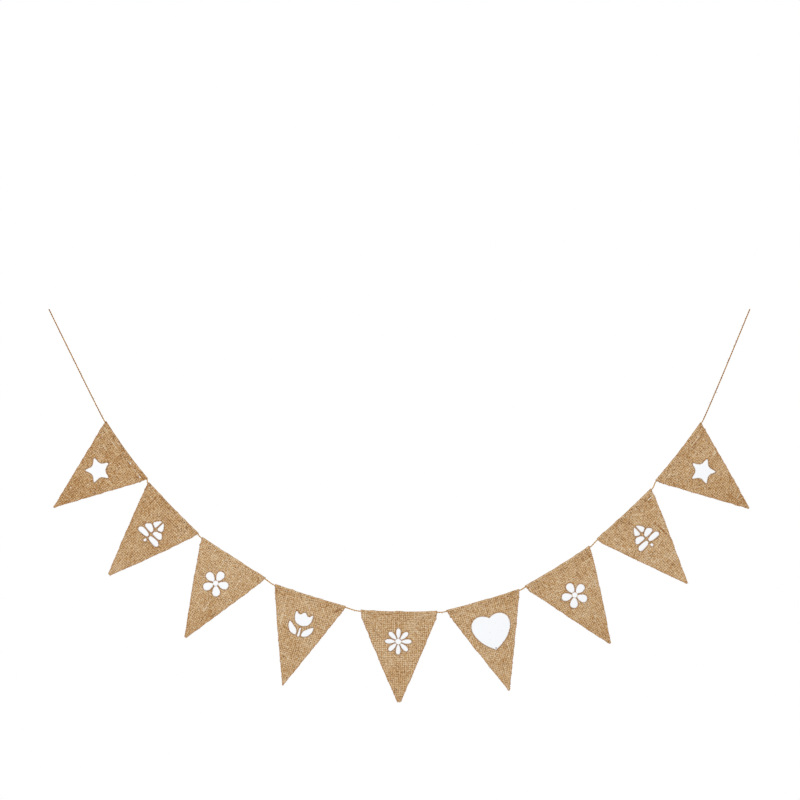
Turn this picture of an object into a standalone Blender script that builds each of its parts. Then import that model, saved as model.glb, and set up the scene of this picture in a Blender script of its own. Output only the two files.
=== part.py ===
"""Garland of jute pennants on one jute twine, hanging in a shallow arc from the twine's two ends.

Metres, +Z up, +X to the viewer's right, -Y towards the viewer. The origin is the twine's left end.
Each pennant is one cut of cloth: a front sheet that narrows to a blunt tip, and a hem that is
folded to the back over the twine.
"""

import math
from typing import NamedTuple

import bmesh
import bpy
from mathutils import Vector

MM = 0.001

TWINE_DIAMETER = 2.2 * MM
TWINE_CLEARANCE = 0.45 * MM
TWINE_BEVEL_STEPS = 2
TAIL_STEPS = 8
BEND_REACH = 40 * MM

CLOTH = 1.2 * MM
LAYER_GAP = 0.5 * MM
FOLD_RADIUS = TWINE_DIAMETER / 2 + TWINE_CLEARANCE + CLOTH / 2
AXIS_DROP = FOLD_RADIUS + CLOTH / 2
LAYER_OFFSET = (CLOTH + LAYER_GAP) / 2
HEM_DEPTH = 15 * MM
HEM_CLOSED = 9 * MM
HEM_INSET = 4.0 * MM
HEM_STEPS = 6
FOLD_STEPS = 6
FRONT_STEPS = 10
BEHIND_ROWS = 2


class Pennant(NamedTuple):
    """One pennant: lengths in millimetres, slopes in degrees that fall towards +X."""

    gap: float        # bare twine before its hem
    gap_fall: float   # slope of that twine
    hem: float        # length of the hem along the twine
    hem_fall: float   # slope of the hem
    sag: float        # how far the hem hangs below its own ends
    drop: float       # from the twine to the tip
    tip: float        # place of the tip along the hem, from the hem's left end
    curl: float       # how far the tip stands towards the viewer
    belly: float      # how far the middle stands towards the viewer
    twist: float      # how far the right edge stands before the left one
    left_bow: float   # how far the left cut edge bulges outwards at half its height
    right_bow: float  # the same for the right one
    left_trim: float  # how far the left end of the fold is cut back
    right_trim: float  # the same for the right end
    tip_width: float  # width of the tip


PENNANTS = (
    Pennant(212.7, 63.6, 121.2, 53.9, 2.0, 154.8, 66.1, 4.0, -2.0, 2.5, 0.0, 0.2, 0.4, 1.2, 1.6),
    Pennant(4.9, 82.0, 123.2, 45.7, 1.2, 155.5, 65.8, -3.0, 2.5, -2.0, 0.2, 1.1, 0.6, 1.8, 4.5),
    Pennant(6.5, 47.6, 129.9, 32.8, 0.8, 154.9, 69.2, 5.5, 1.5, 1.5, 0.8, 0.2, 1.2, 1.4, 4.0),
    Pennant(17.8, 33.7, 126.8, 17.4, 1.4, 157.4, 63.8, -2.0, 3.0, -3.0, 0.2, 0.2, 0.4, 1.2, 1.8),
    Pennant(22.6, 15.3, 134.9, 0.9, 2.1, 152.2, 70.1, 3.5, -2.5, 2.0, 0.9, 0.7, 2.8, 2.6, 6.3),
    Pennant(12.2, -5.9, 130.1, -16.1, 1.6, 156.9, 65.8, 6.0, 2.0, -1.5, 0.4, 0.2, 2.0, 1.0, 2.2),
    Pennant(8.7, -31.2, 131.2, -31.6, 1.7, 156.8, 74.3, -3.5, 3.0, 3.0, 0.2, 1.1, 2.4, 1.2, 3.0),
    Pennant(14.6, -45.7, 128.6, -42.9, 1.3, 156.6, 63.2, 4.5, -1.5, -2.5, 0.3, 0.8, 1.9, 1.9, 2.6),
    Pennant(13.7, -62.9, 125.6, -52.1, 2.0, 152.0, 61.2, -2.5, 2.5, 2.0, 0.0, 0.2, 1.5, 0.6, 2.4),
)
LEFT_TAIL_FALL = 64.0
RIGHT_TAIL_FALL = -67.0

JUTE = (0.515, 0.338, 0.184, 1.0)
JUTE_TWINE = (0.445, 0.262, 0.120, 1.0)


class Hem(NamedTuple):
    """Where one hem's channel runs: its ends on the twine's axis and the slopes there."""

    left: Vector
    right: Vector
    left_fall: float
    right_fall: float


def clear_scene():
    """Remove the objects that the open file holds."""
    for obj in list(bpy.data.objects):
        bpy.data.objects.remove(obj, do_unlink=True)


def along(fall):
    """Unit vector in the garland's plane that falls by this many degrees towards +X."""
    angle = math.radians(fall)
    return Vector((math.cos(angle), 0.0, -math.sin(angle)))


def walk_hems():
    """Place the hems one after the other, from the twine's left end."""
    hems = []
    place = Vector((0.0, 0.0, 0.0))
    for p in PENNANTS:
        left = place + along(p.gap_fall) * p.gap * MM
        place = left + along(p.hem_fall) * p.hem * MM
        dip = math.degrees(4.0 * p.sag / p.hem)
        hems.append(Hem(left, place.copy(), p.hem_fall + dip, p.hem_fall - dip))
    return hems


def smooth_run(start, start_fall, end, end_fall, steps, reach):
    """Points on one smooth curve between two places, the first place left out."""
    pull = min((end - start).length, reach)
    start_pull = along(start_fall) * pull
    end_pull = along(end_fall) * pull
    points = []
    for i in range(1, steps + 1):
        t = i / steps
        points.append(
            start * (2 * t**3 - 3 * t**2 + 1)
            + start_pull * (t**3 - 2 * t**2 + t)
            + end * (3 * t**2 - 2 * t**3)
            + end_pull * (t**3 - t**2)
        )
    return points


def twine_line(hems):
    """The twine's centre line, and for each hem the stretch of it inside that hem's channel."""
    line = [Vector((0.0, 0.0, 0.0))]
    channels = []
    fall = LEFT_TAIL_FALL
    for number, hem in enumerate(hems):
        steps = TAIL_STEPS if number == 0 else 1
        line += smooth_run(line[-1], fall, hem.left, hem.left_fall, steps, BEND_REACH)
        first = len(line) - 1
        hem_length = (hem.right - hem.left).length
        line += smooth_run(hem.left, hem.left_fall, hem.right, hem.right_fall, HEM_STEPS, hem_length)
        channels.append(line[first:])
        fall = hem.right_fall
    line += smooth_run(line[-1], fall, right_end(hems), RIGHT_TAIL_FALL, TAIL_STEPS, BEND_REACH)
    return line, channels


def right_end(hems):
    """The right tail is straight enough that its end, level with the left one, fixes its length."""
    last = hems[-1].right
    direction = along(RIGHT_TAIL_FALL)
    return last - direction * (last.z / direction.z)


def principled(name, colour, roughness):
    """A cloth or yarn material of one colour."""
    material = bpy.data.materials.new(name)
    material.use_nodes = True
    shader = material.node_tree.nodes["Principled BSDF"]
    shader.inputs["Base Color"].default_value = colour
    shader.inputs["Roughness"].default_value = roughness
    shader.inputs["Metallic"].default_value = 0.0
    return material


def make_twine(line, material, collection):
    """The twine as a tube along its centre line, plainly cut at both ends."""
    curve = bpy.data.curves.new("twine", "CURVE")
    curve.dimensions = "3D"
    curve.bevel_depth = TWINE_DIAMETER / 2
    curve.bevel_resolution = TWINE_BEVEL_STEPS
    curve.use_fill_caps = True
    spline = curve.splines.new("POLY")
    spline.points.add(len(line) - 1)
    for point, place in zip(spline.points, line):
        point.co = (*place, 1.0)
        point.radius = 1.0
    spline.use_smooth = True
    twine = bpy.data.objects.new("twine", curve)
    twine.data.materials.append(material)
    collection.objects.link(twine)


def cloth_section(drop):
    """Rows of the cloth's middle surface, as (depth towards the viewer, fall below the twine).

    They start at the free edge of the hem behind, go up and over the twine, and end at the tip.
    """
    edge = HEM_DEPTH - AXIS_DROP
    closed = HEM_CLOSED - AXIS_DROP
    section = [(-LAYER_OFFSET, edge), (-LAYER_OFFSET, closed)]
    for i in range(FOLD_STEPS + 1):
        angle = math.pi * i / FOLD_STEPS
        section.append((-FOLD_RADIUS * math.cos(angle), -FOLD_RADIUS * math.sin(angle)))
    section.append((LAYER_OFFSET, closed))
    for i in range(FRONT_STEPS + 1):
        section.append((LAYER_OFFSET, edge + (drop - edge) * i / FRONT_STEPS))
    return section


def side_edges(p, row, fall):
    """Where the cloth's two cut edges lie along the hem, for one row of the section."""
    if row < BEHIND_ROWS:
        return HEM_INSET, p.hem * MM - HEM_INSET
    share = max(0.0, fall) / (p.drop * MM)
    bulge = 4.0 * share * (1.0 - share)
    back = max(0.0, 1.0 - max(0.0, fall) / (HEM_DEPTH - AXIS_DROP))
    tip_left, tip_right = p.tip - p.tip_width / 2, p.tip + p.tip_width / 2
    left = tip_left * share - p.left_bow * bulge + p.left_trim * back
    right = p.hem + (tip_right - p.hem) * share + p.right_bow * bulge - p.right_trim * back
    return left * MM, right * MM


def relief(p, across, fall):
    """How far the hanging cloth stands towards the viewer, from nothing at the twine."""
    share = max(0.0, fall) / (p.drop * MM)
    swing = p.curl * share**2
    belly = 4.0 * p.belly * share * (1.0 - share) * math.sin(math.pi * across)
    twist = 2.0 * p.twist * (across - 0.5) * math.sin(math.pi * share)
    return (swing + belly + twist) * MM


def read_off(table, place):
    """Value at a place on a broken line of (place, value) points, which runs on past both ends."""
    for (start, low), (end, high) in zip(table, table[1:]):
        if place <= end:
            break
    return low + (high - low) * (place - start) / (end - start)


def cloth_mesh(p, channel):
    """A grid bent over the twine along its channel: the pennant's middle surface."""
    section = cloth_section(p.drop * MM)
    left = channel[0]
    length = (channel[-1] - left).length
    direction = (channel[-1] - left) / length
    down = Vector((direction.z, 0.0, -direction.x))
    twine = [((point - left).dot(direction), (point - left).dot(down)) for point in channel]
    last_row = len(section) - 1
    mesh = bmesh.new()
    bmesh.ops.create_grid(mesh, x_segments=HEM_STEPS, y_segments=last_row, size=1.0)
    for vert in mesh.verts:
        row = round((1.0 - vert.co.y) / 2.0 * last_row)
        column = round((1.0 + vert.co.x) / 2.0 * HEM_STEPS)
        depth, fall = section[row]
        left_edge, right_edge = side_edges(p, row, fall)
        place = left_edge + (right_edge - left_edge) * twine[column][0] / length
        sag = read_off(twine, place) * (1.0 - max(0.0, fall) / (p.drop * MM))
        vert.co = left + direction * place + down * (fall + sag)
        vert.co.y = -depth - relief(p, place / length, fall)
    bmesh.ops.recalc_face_normals(mesh, faces=mesh.faces)
    return mesh


def make_pennant(number, p, channel, material, collection):
    """One pennant: its middle surface, given the cloth's thickness."""
    mesh_data = bpy.data.meshes.new(f"pennant_{number}")
    mesh = cloth_mesh(p, channel)
    mesh.to_mesh(mesh_data)
    mesh.free()
    mesh_data.shade_smooth()
    mesh_data.materials.append(material)
    pennant = bpy.data.objects.new(f"pennant_{number}", mesh_data)
    collection.objects.link(pennant)
    solidify = pennant.modifiers.new("cloth", "SOLIDIFY")
    solidify.thickness = CLOTH
    solidify.offset = 0.0
    solidify.use_even_offset = True


def main():
    """Build the twine and its pennants."""
    clear_scene()
    collection = bpy.data.collections.new("jute garland")
    bpy.context.scene.collection.children.link(collection)
    jute = principled("jute cloth", JUTE, 0.95)
    jute_twine = principled("jute twine", JUTE_TWINE, 0.9)
    hems = walk_hems()
    line, channels = twine_line(hems)
    make_twine(line, jute_twine, collection)
    for number, (p, channel) in enumerate(zip(PENNANTS, channels), start=1):
        make_pennant(number, p, channel, jute, collection)


main()
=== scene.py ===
"""Looks of a hanging jute garland: nine woven pennants, their painted motifs and a two-ply twine.

Metres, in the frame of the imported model: +X to the viewer's right, +Z up, -Y towards the viewer.
"""

from __future__ import annotations

import logging
import math
from dataclasses import dataclass
from enum import Enum
from typing import Any, NamedTuple

import bpy
import numpy as np
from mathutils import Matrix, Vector
from mathutils.geometry import delaunay_2d_cdt


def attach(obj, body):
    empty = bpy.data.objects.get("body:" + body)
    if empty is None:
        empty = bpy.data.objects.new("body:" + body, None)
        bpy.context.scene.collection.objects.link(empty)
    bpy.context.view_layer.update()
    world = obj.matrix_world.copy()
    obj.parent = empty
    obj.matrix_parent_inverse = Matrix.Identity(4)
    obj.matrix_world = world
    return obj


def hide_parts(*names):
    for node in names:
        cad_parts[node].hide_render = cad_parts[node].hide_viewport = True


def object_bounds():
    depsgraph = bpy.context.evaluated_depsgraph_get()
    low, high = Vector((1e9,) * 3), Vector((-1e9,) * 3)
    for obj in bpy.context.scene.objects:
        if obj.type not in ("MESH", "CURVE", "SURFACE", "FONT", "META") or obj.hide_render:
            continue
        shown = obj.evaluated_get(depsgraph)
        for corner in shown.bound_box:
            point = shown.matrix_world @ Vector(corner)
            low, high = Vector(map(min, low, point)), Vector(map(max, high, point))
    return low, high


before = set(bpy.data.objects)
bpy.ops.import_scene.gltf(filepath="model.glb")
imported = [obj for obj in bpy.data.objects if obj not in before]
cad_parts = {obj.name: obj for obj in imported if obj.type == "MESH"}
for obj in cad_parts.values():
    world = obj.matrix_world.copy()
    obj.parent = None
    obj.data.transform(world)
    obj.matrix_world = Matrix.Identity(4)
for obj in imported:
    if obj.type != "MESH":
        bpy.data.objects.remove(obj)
CAD_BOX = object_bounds()

MM = 0.001
BODY = "root"
THREAD_MAP = "threads"
# What each further ply's runs are numbered on by, so that no two plies have the same fibres.
PLY_STEP = 7.0
LOG = logging.getLogger("jute garland")

Colour = tuple[float, float, float, float]
Place = tuple[float, float, float]


def rgb(red: float, green: float, blue: float) -> Colour:
    """Linear colour of an 8-bit screen colour.

    Args:
        red: Red from 0 to 255.
        green: Green from 0 to 255.
        blue: Blue from 0 to 255.

    Returns:
        The colour with an alpha of 1.
    """
    shares = [channel / 255.0 for channel in (red, green, blue)]
    linear = [s / 12.92 if s <= 0.04045 else ((s + 0.055) / 1.055) ** 2.4 for s in shares]
    return (*linear, 1.0)


def smooth(share: np.ndarray) -> np.ndarray:
    """Ease a share from 0 to 1, level at both ends."""
    held = np.clip(share, 0.0, 1.0)
    return held * held * (3.0 - 2.0 * held)


def value_noise(x: np.ndarray, y: np.ndarray, seed: int) -> np.ndarray:
    """Smooth noise on a plane, with one random value at each whole-numbered place.

    Args:
        x: First coordinate, in lattice steps.
        y: Second coordinate, in lattice steps.
        seed: Picks the random values.

    Returns:
        Values from -1 to 1.
    """
    size = 256
    lattice = np.random.default_rng(seed).uniform(-1.0, 1.0, (size, size))
    column = np.floor(x).astype(int)
    row = np.floor(y).astype(int)
    over = smooth(x - column)
    up = smooth(y - row)
    left, right = column % size, (column + 1) % size
    low, high = row % size, (row + 1) % size
    bottom = lattice[left, low] * (1.0 - over) + lattice[right, low] * over
    top = lattice[left, high] * (1.0 - over) + lattice[right, high] * over
    return bottom * (1.0 - up) + top * up


def cubic(
    start: np.ndarray, start_pull: np.ndarray, end: np.ndarray, end_pull: np.ndarray, t: float
) -> np.ndarray:
    """One point of a smooth curve between two places.

    Args:
        start: Where the curve starts.
        start_pull: Its direction there, as long as its pull.
        end: Where it ends.
        end_pull: Its direction there.
        t: How far along the point is, from 0 to 1.

    Returns:
        The point.
    """
    return (
        start * (2 * t**3 - 3 * t**2 + 1)
        + start_pull * (t**3 - 2 * t**2 + t)
        + end * (3 * t**2 - 2 * t**3)
        + end_pull * (t**3 - t**2)
    )


def add_object(name: str, data: Any) -> bpy.types.Object:
    """Make an object of this data and link it to the scene.

    Args:
        name: The object's name.
        data: Its mesh, curve, camera or light.

    Returns:
        The object.
    """
    made = bpy.data.objects.new(name, data)
    bpy.context.scene.collection.objects.link(made)
    return made


def add_mesh(
    name: str, points: list[Any], faces: list[Any], finish: bpy.types.Material
) -> bpy.types.Mesh:
    """A mesh with smooth faces and one finish.

    Args:
        name: Its name.
        points: Its vertices.
        faces: The vertices of each face.
        finish: Its material.

    Returns:
        The mesh.
    """
    mesh = bpy.data.meshes.new(name)
    mesh.from_pydata(points, [], faces)
    mesh.update()
    mesh.shade_smooth()
    mesh.materials.append(finish)
    return mesh


def add_mask(mesh: bpy.types.Mesh, name: str, values: Any) -> None:
    """Give a mesh one value at each vertex, under this name."""
    layer = mesh.attributes.new(name, "FLOAT", "POINT")
    layer.data.foreach_set("value", np.asarray(values, np.float32))


# The garland's cut and hang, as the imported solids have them.


@dataclass(frozen=True)
class Cut:
    """One pennant: lengths in millimetres, slopes in degrees that fall towards +X."""

    gap: float
    gap_fall: float
    hem: float
    hem_fall: float
    sag: float
    drop: float
    tip: float
    curl: float
    belly: float
    twist: float
    left_bow: float
    right_bow: float
    left_trim: float
    right_trim: float
    tip_width: float


CUTS = (
    Cut(212.7, 63.6, 121.2, 53.9, 2.0, 154.8, 66.1, 4.0, -2.0, 2.5, 0.0, 0.2, 0.4, 1.2, 1.6),
    Cut(4.9, 82.0, 123.2, 45.7, 1.2, 155.5, 65.8, -3.0, 2.5, -2.0, 0.2, 1.1, 0.6, 1.8, 4.5),
    Cut(6.5, 47.6, 129.9, 32.8, 0.8, 154.9, 69.2, 5.5, 1.5, 1.5, 0.8, 0.2, 1.2, 1.4, 4.0),
    Cut(17.8, 33.7, 126.8, 17.4, 1.4, 157.4, 63.8, -2.0, 3.0, -3.0, 0.2, 0.2, 0.4, 1.2, 1.8),
    Cut(22.6, 15.3, 134.9, 0.9, 2.1, 152.2, 70.1, 3.5, -2.5, 2.0, 0.9, 0.7, 2.8, 2.6, 6.3),
    Cut(12.2, -5.9, 130.1, -16.1, 1.6, 156.9, 65.8, 6.0, 2.0, -1.5, 0.4, 0.2, 2.0, 1.0, 2.2),
    Cut(8.7, -31.2, 131.2, -31.6, 1.7, 156.8, 74.3, -3.5, 3.0, 3.0, 0.2, 1.1, 2.4, 1.2, 3.0),
    Cut(14.6, -45.7, 128.6, -42.9, 1.3, 156.6, 63.2, 4.5, -1.5, -2.5, 0.3, 0.8, 1.9, 1.9, 2.6),
    Cut(13.7, -62.9, 125.6, -52.1, 2.0, 152.0, 61.2, -2.5, 2.5, 2.0, 0.0, 0.2, 1.5, 0.6, 2.4),
)


class Motif(Enum):
    """What is painted on a pennant."""

    STAR = "star"
    LEAF = "leaf"
    FLOWER = "flower"
    TULIP = "tulip"
    DAISY = "daisy"
    HEART = "heart"


class Mark(NamedTuple):
    """A painted motif, its centre in millimetres along the hem and below the twine, and its turn."""

    motif: Motif
    place: float
    fall: float
    turn: float = 0.0


MARKS = (
    Mark(Motif.STAR, 59.6, 56.3),
    Mark(Motif.LEAF, 66.4, 48.6),
    Mark(Motif.FLOWER, 62.6, 50.6),
    Mark(Motif.TULIP, 63.7, 47.6),
    Mark(Motif.DAISY, 67.4, 49.0),
    Mark(Motif.HEART, 65.9, 51.4, 3.5),
    Mark(Motif.FLOWER, 66.1, 53.9),
    Mark(Motif.LEAF, 64.0, 47.2),
    Mark(Motif.STAR, 62.6, 50.2),
)

# Painted shade: how much paler or darker than the rest each pennant is painted.
PAINTED_SHADE_BY_PENNANT = (-0.11, -0.06, 0.0, 0.02, 0.02, 0.0, 0.0, 0.0, -0.03)


class Flaw(Enum):
    """What a stroke in the weave is: a dark or pale thread, or an opening."""

    DARK = "dark"
    PALE = "pale"
    SLIT = "slit"


class Stroke(NamedTuple):
    """Where a flaw in the weave runs, along the hem and below the twine, in millimetres."""

    place: float
    fall: float
    end_place: float
    end_fall: float


STROKES: dict[int, dict[Flaw, tuple[Stroke, ...]]] = {
    1: {
        Flaw.SLIT: (Stroke(80.2, 5.2, 83.6, 5.2), Stroke(108.2, 6.8, 112.2, 6.8)),
        Flaw.PALE: (
            Stroke(5.7, 6.3, 18.3, 6.5), Stroke(28.7, 8.4, 49.3, 8.2), Stroke(39.5, 1.9, 47.4, -0.9),
            Stroke(71.9, 5.2, 86.0, 5.2), Stroke(93.4, 6.3, 98.1, 6.3), Stroke(102.8, 6.1, 108.2, 6.6),
            Stroke(30.5, 23.9, 38.0, 23.6),
        ),
        Flaw.DARK: (
            Stroke(40.9, -1.4, 48.4, -2.0), Stroke(77.0, 7.4, 84.5, 7.2),
            Stroke(106.6, 4.6, 119.7, 3.6), Stroke(2.6, 6.6, 6.1, 7.0), Stroke(24.4, 10.3, 28.7, 10.2),
            Stroke(70.4, 20.2, 76.5, 19.4), Stroke(57.3, 0.5, 58.0, 0.7), Stroke(65.9, 0.6, 66.5, 1.4),
            Stroke(65.4, 11.2, 66.0, 12.0), Stroke(60.4, 15.0, 61.0, 15.4),
        ),
    },
    2: {
        Flaw.DARK: (
            Stroke(28.0, 5.5, 28.5, 22.5), Stroke(60.0, 17.0, 96.0, 17.4), Stroke(4.0, 4.0, 6.5, 11.0),
        ),
    },
    3: {
        Flaw.PALE: (Stroke(70.0, 78.0, 71.0, 102.0),),
        Flaw.DARK: (Stroke(118.0, 4.0, 121.0, 11.0),),
    },
    4: {
        Flaw.PALE: (Stroke(28.0, 30.0, 29.0, 58.0),),
        Flaw.DARK: (
            Stroke(111.0, 11.5, 116.0, 4.0), Stroke(113.5, 11.5, 118.0, 5.5),
            Stroke(3.4, 2.0, 6.4, 8.0), Stroke(6.0, 4.0, 8.0, 13.0),
        ),
    },
    5: {
        Flaw.PALE: (Stroke(100.0, 5.2, 109.0, 5.0), Stroke(112.0, 3.4, 118.0, 3.2)),
        Flaw.DARK: (Stroke(46.0, 2.4, 56.0, 2.6),),
    },
    6: {
        Flaw.PALE: (Stroke(20.0, 9.0, 32.0, 9.4),),
        Flaw.DARK: (Stroke(40.0, 96.0, 41.0, 112.0),),
    },
    7: {
        Flaw.DARK: (
            Stroke(89.0, 22.0, 89.6, 37.0), Stroke(108.0, 5.0, 110.0, 13.0),
            Stroke(119.0, 4.0, 120.0, 11.0), Stroke(121.0, 3.0, 122.0, 12.0),
        ),
    },
    8: {
        Flaw.SLIT: (Stroke(111.3, 8.4, 117.0, 8.4),),
        Flaw.PALE: (
            Stroke(14.1, 7.7, 19.7, 7.7), Stroke(13.2, 10.1, 16.9, 10.1), Stroke(70.0, 9.1, 76.1, 9.1),
            Stroke(85.4, 0.4, 85.6, 6.4), Stroke(90.0, 11.6, 90.2, 14.8),
            Stroke(117.0, 8.2, 124.0, 7.8),
        ),
        Flaw.DARK: (
            Stroke(106.6, 6.9, 119.7, 6.4), Stroke(87.8, 1.0, 88.0, 7.4), Stroke(89.0, 9.8, 89.4, 13.6),
            Stroke(51.4, -1.4, 52.2, -1.0), Stroke(56.6, 1.4, 57.2, 1.8),
            Stroke(72.1, 10.6, 72.9, 11.0), Stroke(79.4, 0.0, 80.4, 0.4), Stroke(98.2, 9.8, 99.0, 10.4),
            Stroke(107.9, 10.8, 109.0, 11.0), Stroke(113.4, 10.4, 114.8, 10.6),
            Stroke(47.9, 17.1, 48.9, 20.9), Stroke(33.0, 25.2, 33.6, 25.9),
            Stroke(93.6, 45.0, 94.2, 72.0),
        ),
    },
    9: {
        Flaw.SLIT: (Stroke(102.0, 7.2, 103.8, 7.2),),
        Flaw.PALE: (
            Stroke(93.0, 48.0, 102.0, 47.0), Stroke(88.0, 71.0, 96.0, 70.0),
            Stroke(62.0, 125.0, 69.0, 124.0), Stroke(85.0, 8.7, 106.5, 9.8),
            Stroke(5.2, -0.2, 5.4, 3.0), Stroke(16.0, 4.4, 18.0, 4.4),
        ),
        Flaw.DARK: (
            Stroke(84.5, 10.5, 107.5, 11.7), Stroke(3.4, 0.4, 4.4, 6.0), Stroke(32.5, 8.6, 35.8, 10.5),
            Stroke(64.4, 6.8, 65.4, 7.4), Stroke(65.0, 10.4, 69.0, 10.6),
            Stroke(100.6, 7.0, 101.2, 7.8), Stroke(37.0, 24.1, 37.6, 24.8),
            Stroke(93.2, 27.1, 93.8, 27.8), Stroke(16.0, 24.8, 16.8, 25.2),
            Stroke(109.2, 14.6, 109.9, 15.0), Stroke(114.3, 18.2, 114.9, 18.9),
            Stroke(117.2, 9.2, 117.8, 10.0), Stroke(117.5, 2.0, 121.0, 3.0),
        ),
    },
}


class Shade(NamedTuple):
    """A soft patch of painted light and shade on a pennant: centre, radius in millimetres, paler above
    zero.
    """

    place: float
    fall: float
    radius: float
    amount: float


SHADES: dict[int, tuple[Shade, ...]] = {
    1: (Shade(93.0, 24.0, 16.0, 0.08), Shade(61.0, 125.0, 30.0, -0.09)),
    2: (Shade(101.0, 24.0, 18.0, 0.07), Shade(64.0, 134.0, 22.0, 0.06), Shade(20.0, 21.0, 14.0, -0.05)),
    3: (Shade(56.0, 20.0, 24.0, 0.09), Shade(28.0, 50.0, 14.0, 0.07), Shade(66.0, 136.0, 28.0, -0.13)),
    4: (Shade(89.0, 77.0, 13.0, 0.1), Shade(62.0, 105.0, 22.0, -0.05)),
    5: (Shade(8.0, 9.0, 9.0, 0.1), Shade(75.0, 110.0, 24.0, -0.05)),
    6: (Shade(108.0, 14.0, 18.0, -0.09), Shade(30.0, 58.0, 14.0, 0.06)),
    7: (Shade(102.0, 46.0, 12.0, 0.09), Shade(68.0, 140.0, 26.0, -0.13)),
    8: (Shade(66.0, 95.0, 30.0, 0.05),),
    9: (Shade(47.0, 81.0, 20.0, -0.06), Shade(60.0, 130.0, 26.0, -0.13)),
}


class Hem(NamedTuple):
    """Where one hem's channel runs: its ends on the twine's axis and the slopes there."""

    left: np.ndarray
    right: np.ndarray
    left_fall: float
    right_fall: float


def heading(fall: float) -> np.ndarray:
    """Unit vector in the garland's plane that falls by this many degrees towards +X."""
    angle = math.radians(fall)
    return np.array((math.cos(angle), 0.0, -math.sin(angle)))


@dataclass(frozen=True)
class Route:
    """The twine's way from its left end, through the nine hems, to its right end."""

    left_tail_fall: float = 64.0
    right_tail_fall: float = -67.0
    bend_reach: float = 40 * MM
    tail_steps: int = 60
    gap_steps: int = 8
    hem_steps: int = 40

    def hems(self) -> list[Hem]:
        """Place the hems one after the other, from the twine's left end.

        Returns:
            The nine hems, from left to right.
        """
        hems = []
        place = np.zeros(3)
        for cut in CUTS:
            left = place + heading(cut.gap_fall) * cut.gap * MM
            place = left + heading(cut.hem_fall) * cut.hem * MM
            dip = math.degrees(4.0 * cut.sag / cut.hem)
            hems.append(Hem(left, place, cut.hem_fall + dip, cut.hem_fall - dip))
        return hems

    @staticmethod
    def run(
        start: np.ndarray, start_fall: float, end: np.ndarray, end_fall: float, steps: int, reach: float
    ) -> list[np.ndarray]:
        """Points on one smooth curve between two places, the first place left out.

        Args:
            start: Where the curve starts.
            start_fall: Its slope there.
            end: Where it ends.
            end_fall: Its slope there.
            steps: How many points it gets.
            reach: The longest pull that a slope has on it.

        Returns:
            The points in order.
        """
        pull = min(float(np.linalg.norm(end - start)), reach)
        start_pull = heading(start_fall) * pull
        end_pull = heading(end_fall) * pull
        return [cubic(start, start_pull, end, end_pull, i / steps) for i in range(1, steps + 1)]

    def line(self) -> tuple[np.ndarray, list[np.ndarray]]:
        """The twine's centre line.

        Returns:
            The whole line, and for each hem the stretch of it inside that hem's channel.
        """
        hems = self.hems()
        line = [np.zeros(3)]
        channels = []
        fall = self.left_tail_fall
        for number, hem in enumerate(hems):
            steps = self.tail_steps if number == 0 else self.gap_steps
            line += self.run(line[-1], fall, hem.left, hem.left_fall, steps, self.bend_reach)
            first = len(line) - 1
            length = float(np.linalg.norm(hem.right - hem.left))
            line += self.run(hem.left, hem.left_fall, hem.right, hem.right_fall, self.hem_steps, length)
            channels.append(np.array(line[first:]))
            fall = hem.right_fall
        last = hems[-1].right
        tail = heading(self.right_tail_fall)
        end = last - tail * (last[2] / tail[2])
        line += self.run(last, fall, end, self.right_tail_fall, self.tail_steps, self.bend_reach)
        return np.array(line), channels


# Node trees.


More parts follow.
